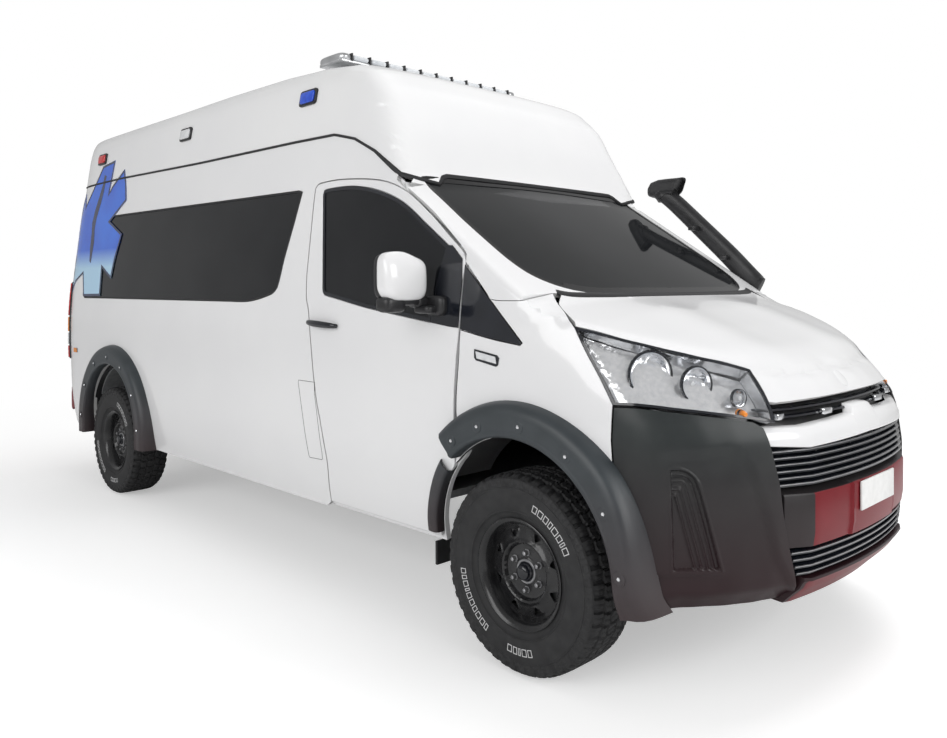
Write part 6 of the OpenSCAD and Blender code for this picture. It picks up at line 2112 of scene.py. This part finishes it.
# white backdrop for the camera and a softer even light for everything else
world = bpy.data.worlds.new("studio")
bpy.context.scene.world = world
world.use_nodes = True
world_tree = world.node_tree
world_tree.nodes.clear()
out = world_tree.nodes.new("ShaderNodeOutputWorld")
ambient = world_tree.nodes.new("ShaderNodeBackground")
ambient.inputs["Color"].default_value = (1, 1, 1, 1)
ambient.inputs["Strength"].default_value = .42
backdrop = world_tree.nodes.new("ShaderNodeBackground")
backdrop.inputs["Color"].default_value = (1, 1, 1, 1)
backdrop.inputs["Strength"].default_value = 1.0
world_ray = world_tree.nodes.new("ShaderNodeLightPath")
world_mix = world_tree.nodes.new("ShaderNodeMixShader")
world_tree.links.new(world_ray.outputs["Is Camera Ray"], world_mix.inputs["Fac"])
world_tree.links.new(ambient.outputs[0], world_mix.inputs[1])
world_tree.links.new(backdrop.outputs[0], world_mix.inputs[2])
world_tree.links.new(world_mix.outputs[0], out.inputs["Surface"])

# white floor that takes the soft shadow and fades into the backdrop with distance
bpy.ops.mesh.primitive_grid_add(x_subdivisions=2, y_subdivisions=2, size=120, location=(0, 0, 0))
ground = bpy.context.object
ground.name = "studio_floor"
floor_mat = bpy.data.materials.new("studio_floor")
floor_mat.use_nodes = True
floor_tree = floor_mat.node_tree
floor_surface = floor_tree.nodes["Principled BSDF"]
floor_out = floor_tree.nodes["Material Output"]
floor_place = floor_tree.nodes.new("ShaderNodeTexCoord")
floor_noise = floor_tree.nodes.new("ShaderNodeTexNoise")
floor_noise.inputs["Scale"].default_value = .6
floor_ramp = floor_tree.nodes.new("ShaderNodeValToRGB")
floor_ramp.color_ramp.elements[0].color = (.80, .80, .80, 1)
floor_ramp.color_ramp.elements[1].color = (.84, .84, .84, 1)
floor_tree.links.new(floor_place.outputs["Object"], floor_noise.inputs["Vector"])
floor_tree.links.new(floor_noise.outputs["Fac"], floor_ramp.inputs["Fac"])
floor_tree.links.new(floor_ramp.outputs["Color"], floor_surface.inputs["Base Color"])
floor_surface.inputs["Roughness"].default_value = .9
floor_glow = floor_tree.nodes.new("ShaderNodeEmission")
floor_glow.inputs["Color"].default_value = (1, 1, 1, 1)
ray_kind = floor_tree.nodes.new("ShaderNodeLightPath")
glow_amount = floor_tree.nodes.new("ShaderNodeMath")
glow_amount.operation = "MULTIPLY"
glow_amount.inputs[1].default_value = .40
floor_tree.links.new(ray_kind.outputs["Is Camera Ray"], glow_amount.inputs[0])
floor_tree.links.new(glow_amount.outputs[0], floor_glow.inputs["Strength"])
lit_floor = floor_tree.nodes.new("ShaderNodeAddShader")
floor_tree.links.new(floor_surface.outputs[0], lit_floor.inputs[0])
floor_tree.links.new(floor_glow.outputs[0], lit_floor.inputs[1])
distance = floor_tree.nodes.new("ShaderNodeVectorMath")
distance.operation = "LENGTH"
floor_tree.links.new(floor_place.outputs["Object"], distance.inputs[0])
far_part = floor_tree.nodes.new("ShaderNodeMapRange")
far_part.interpolation_type = "SMOOTHSTEP"
far_part.inputs["From Min"].default_value = 3.6
far_part.inputs["From Max"].default_value = 7.5
floor_tree.links.new(distance.outputs["Value"], far_part.inputs["Value"])
far_seen = floor_tree.nodes.new("ShaderNodeMath")
far_seen.operation = "MULTIPLY"
floor_tree.links.new(far_part.outputs["Result"], far_seen.inputs[0])
floor_tree.links.new(ray_kind.outputs["Is Camera Ray"], far_seen.inputs[1])
white_glow = floor_tree.nodes.new("ShaderNodeEmission")
white_glow.inputs["Color"].default_value = (1, 1, 1, 1)
floor_mix = floor_tree.nodes.new("ShaderNodeMixShader")
floor_tree.links.new(far_seen.outputs[0], floor_mix.inputs["Fac"])
floor_tree.links.new(lit_floor.outputs[0], floor_mix.inputs[1])
floor_tree.links.new(white_glow.outputs[0], floor_mix.inputs[2])
floor_tree.links.new(floor_mix.outputs[0], floor_out.inputs["Surface"])
ground.data.materials.append(floor_mat)

bpy.context.scene.view_settings.view_transform = "Standard"
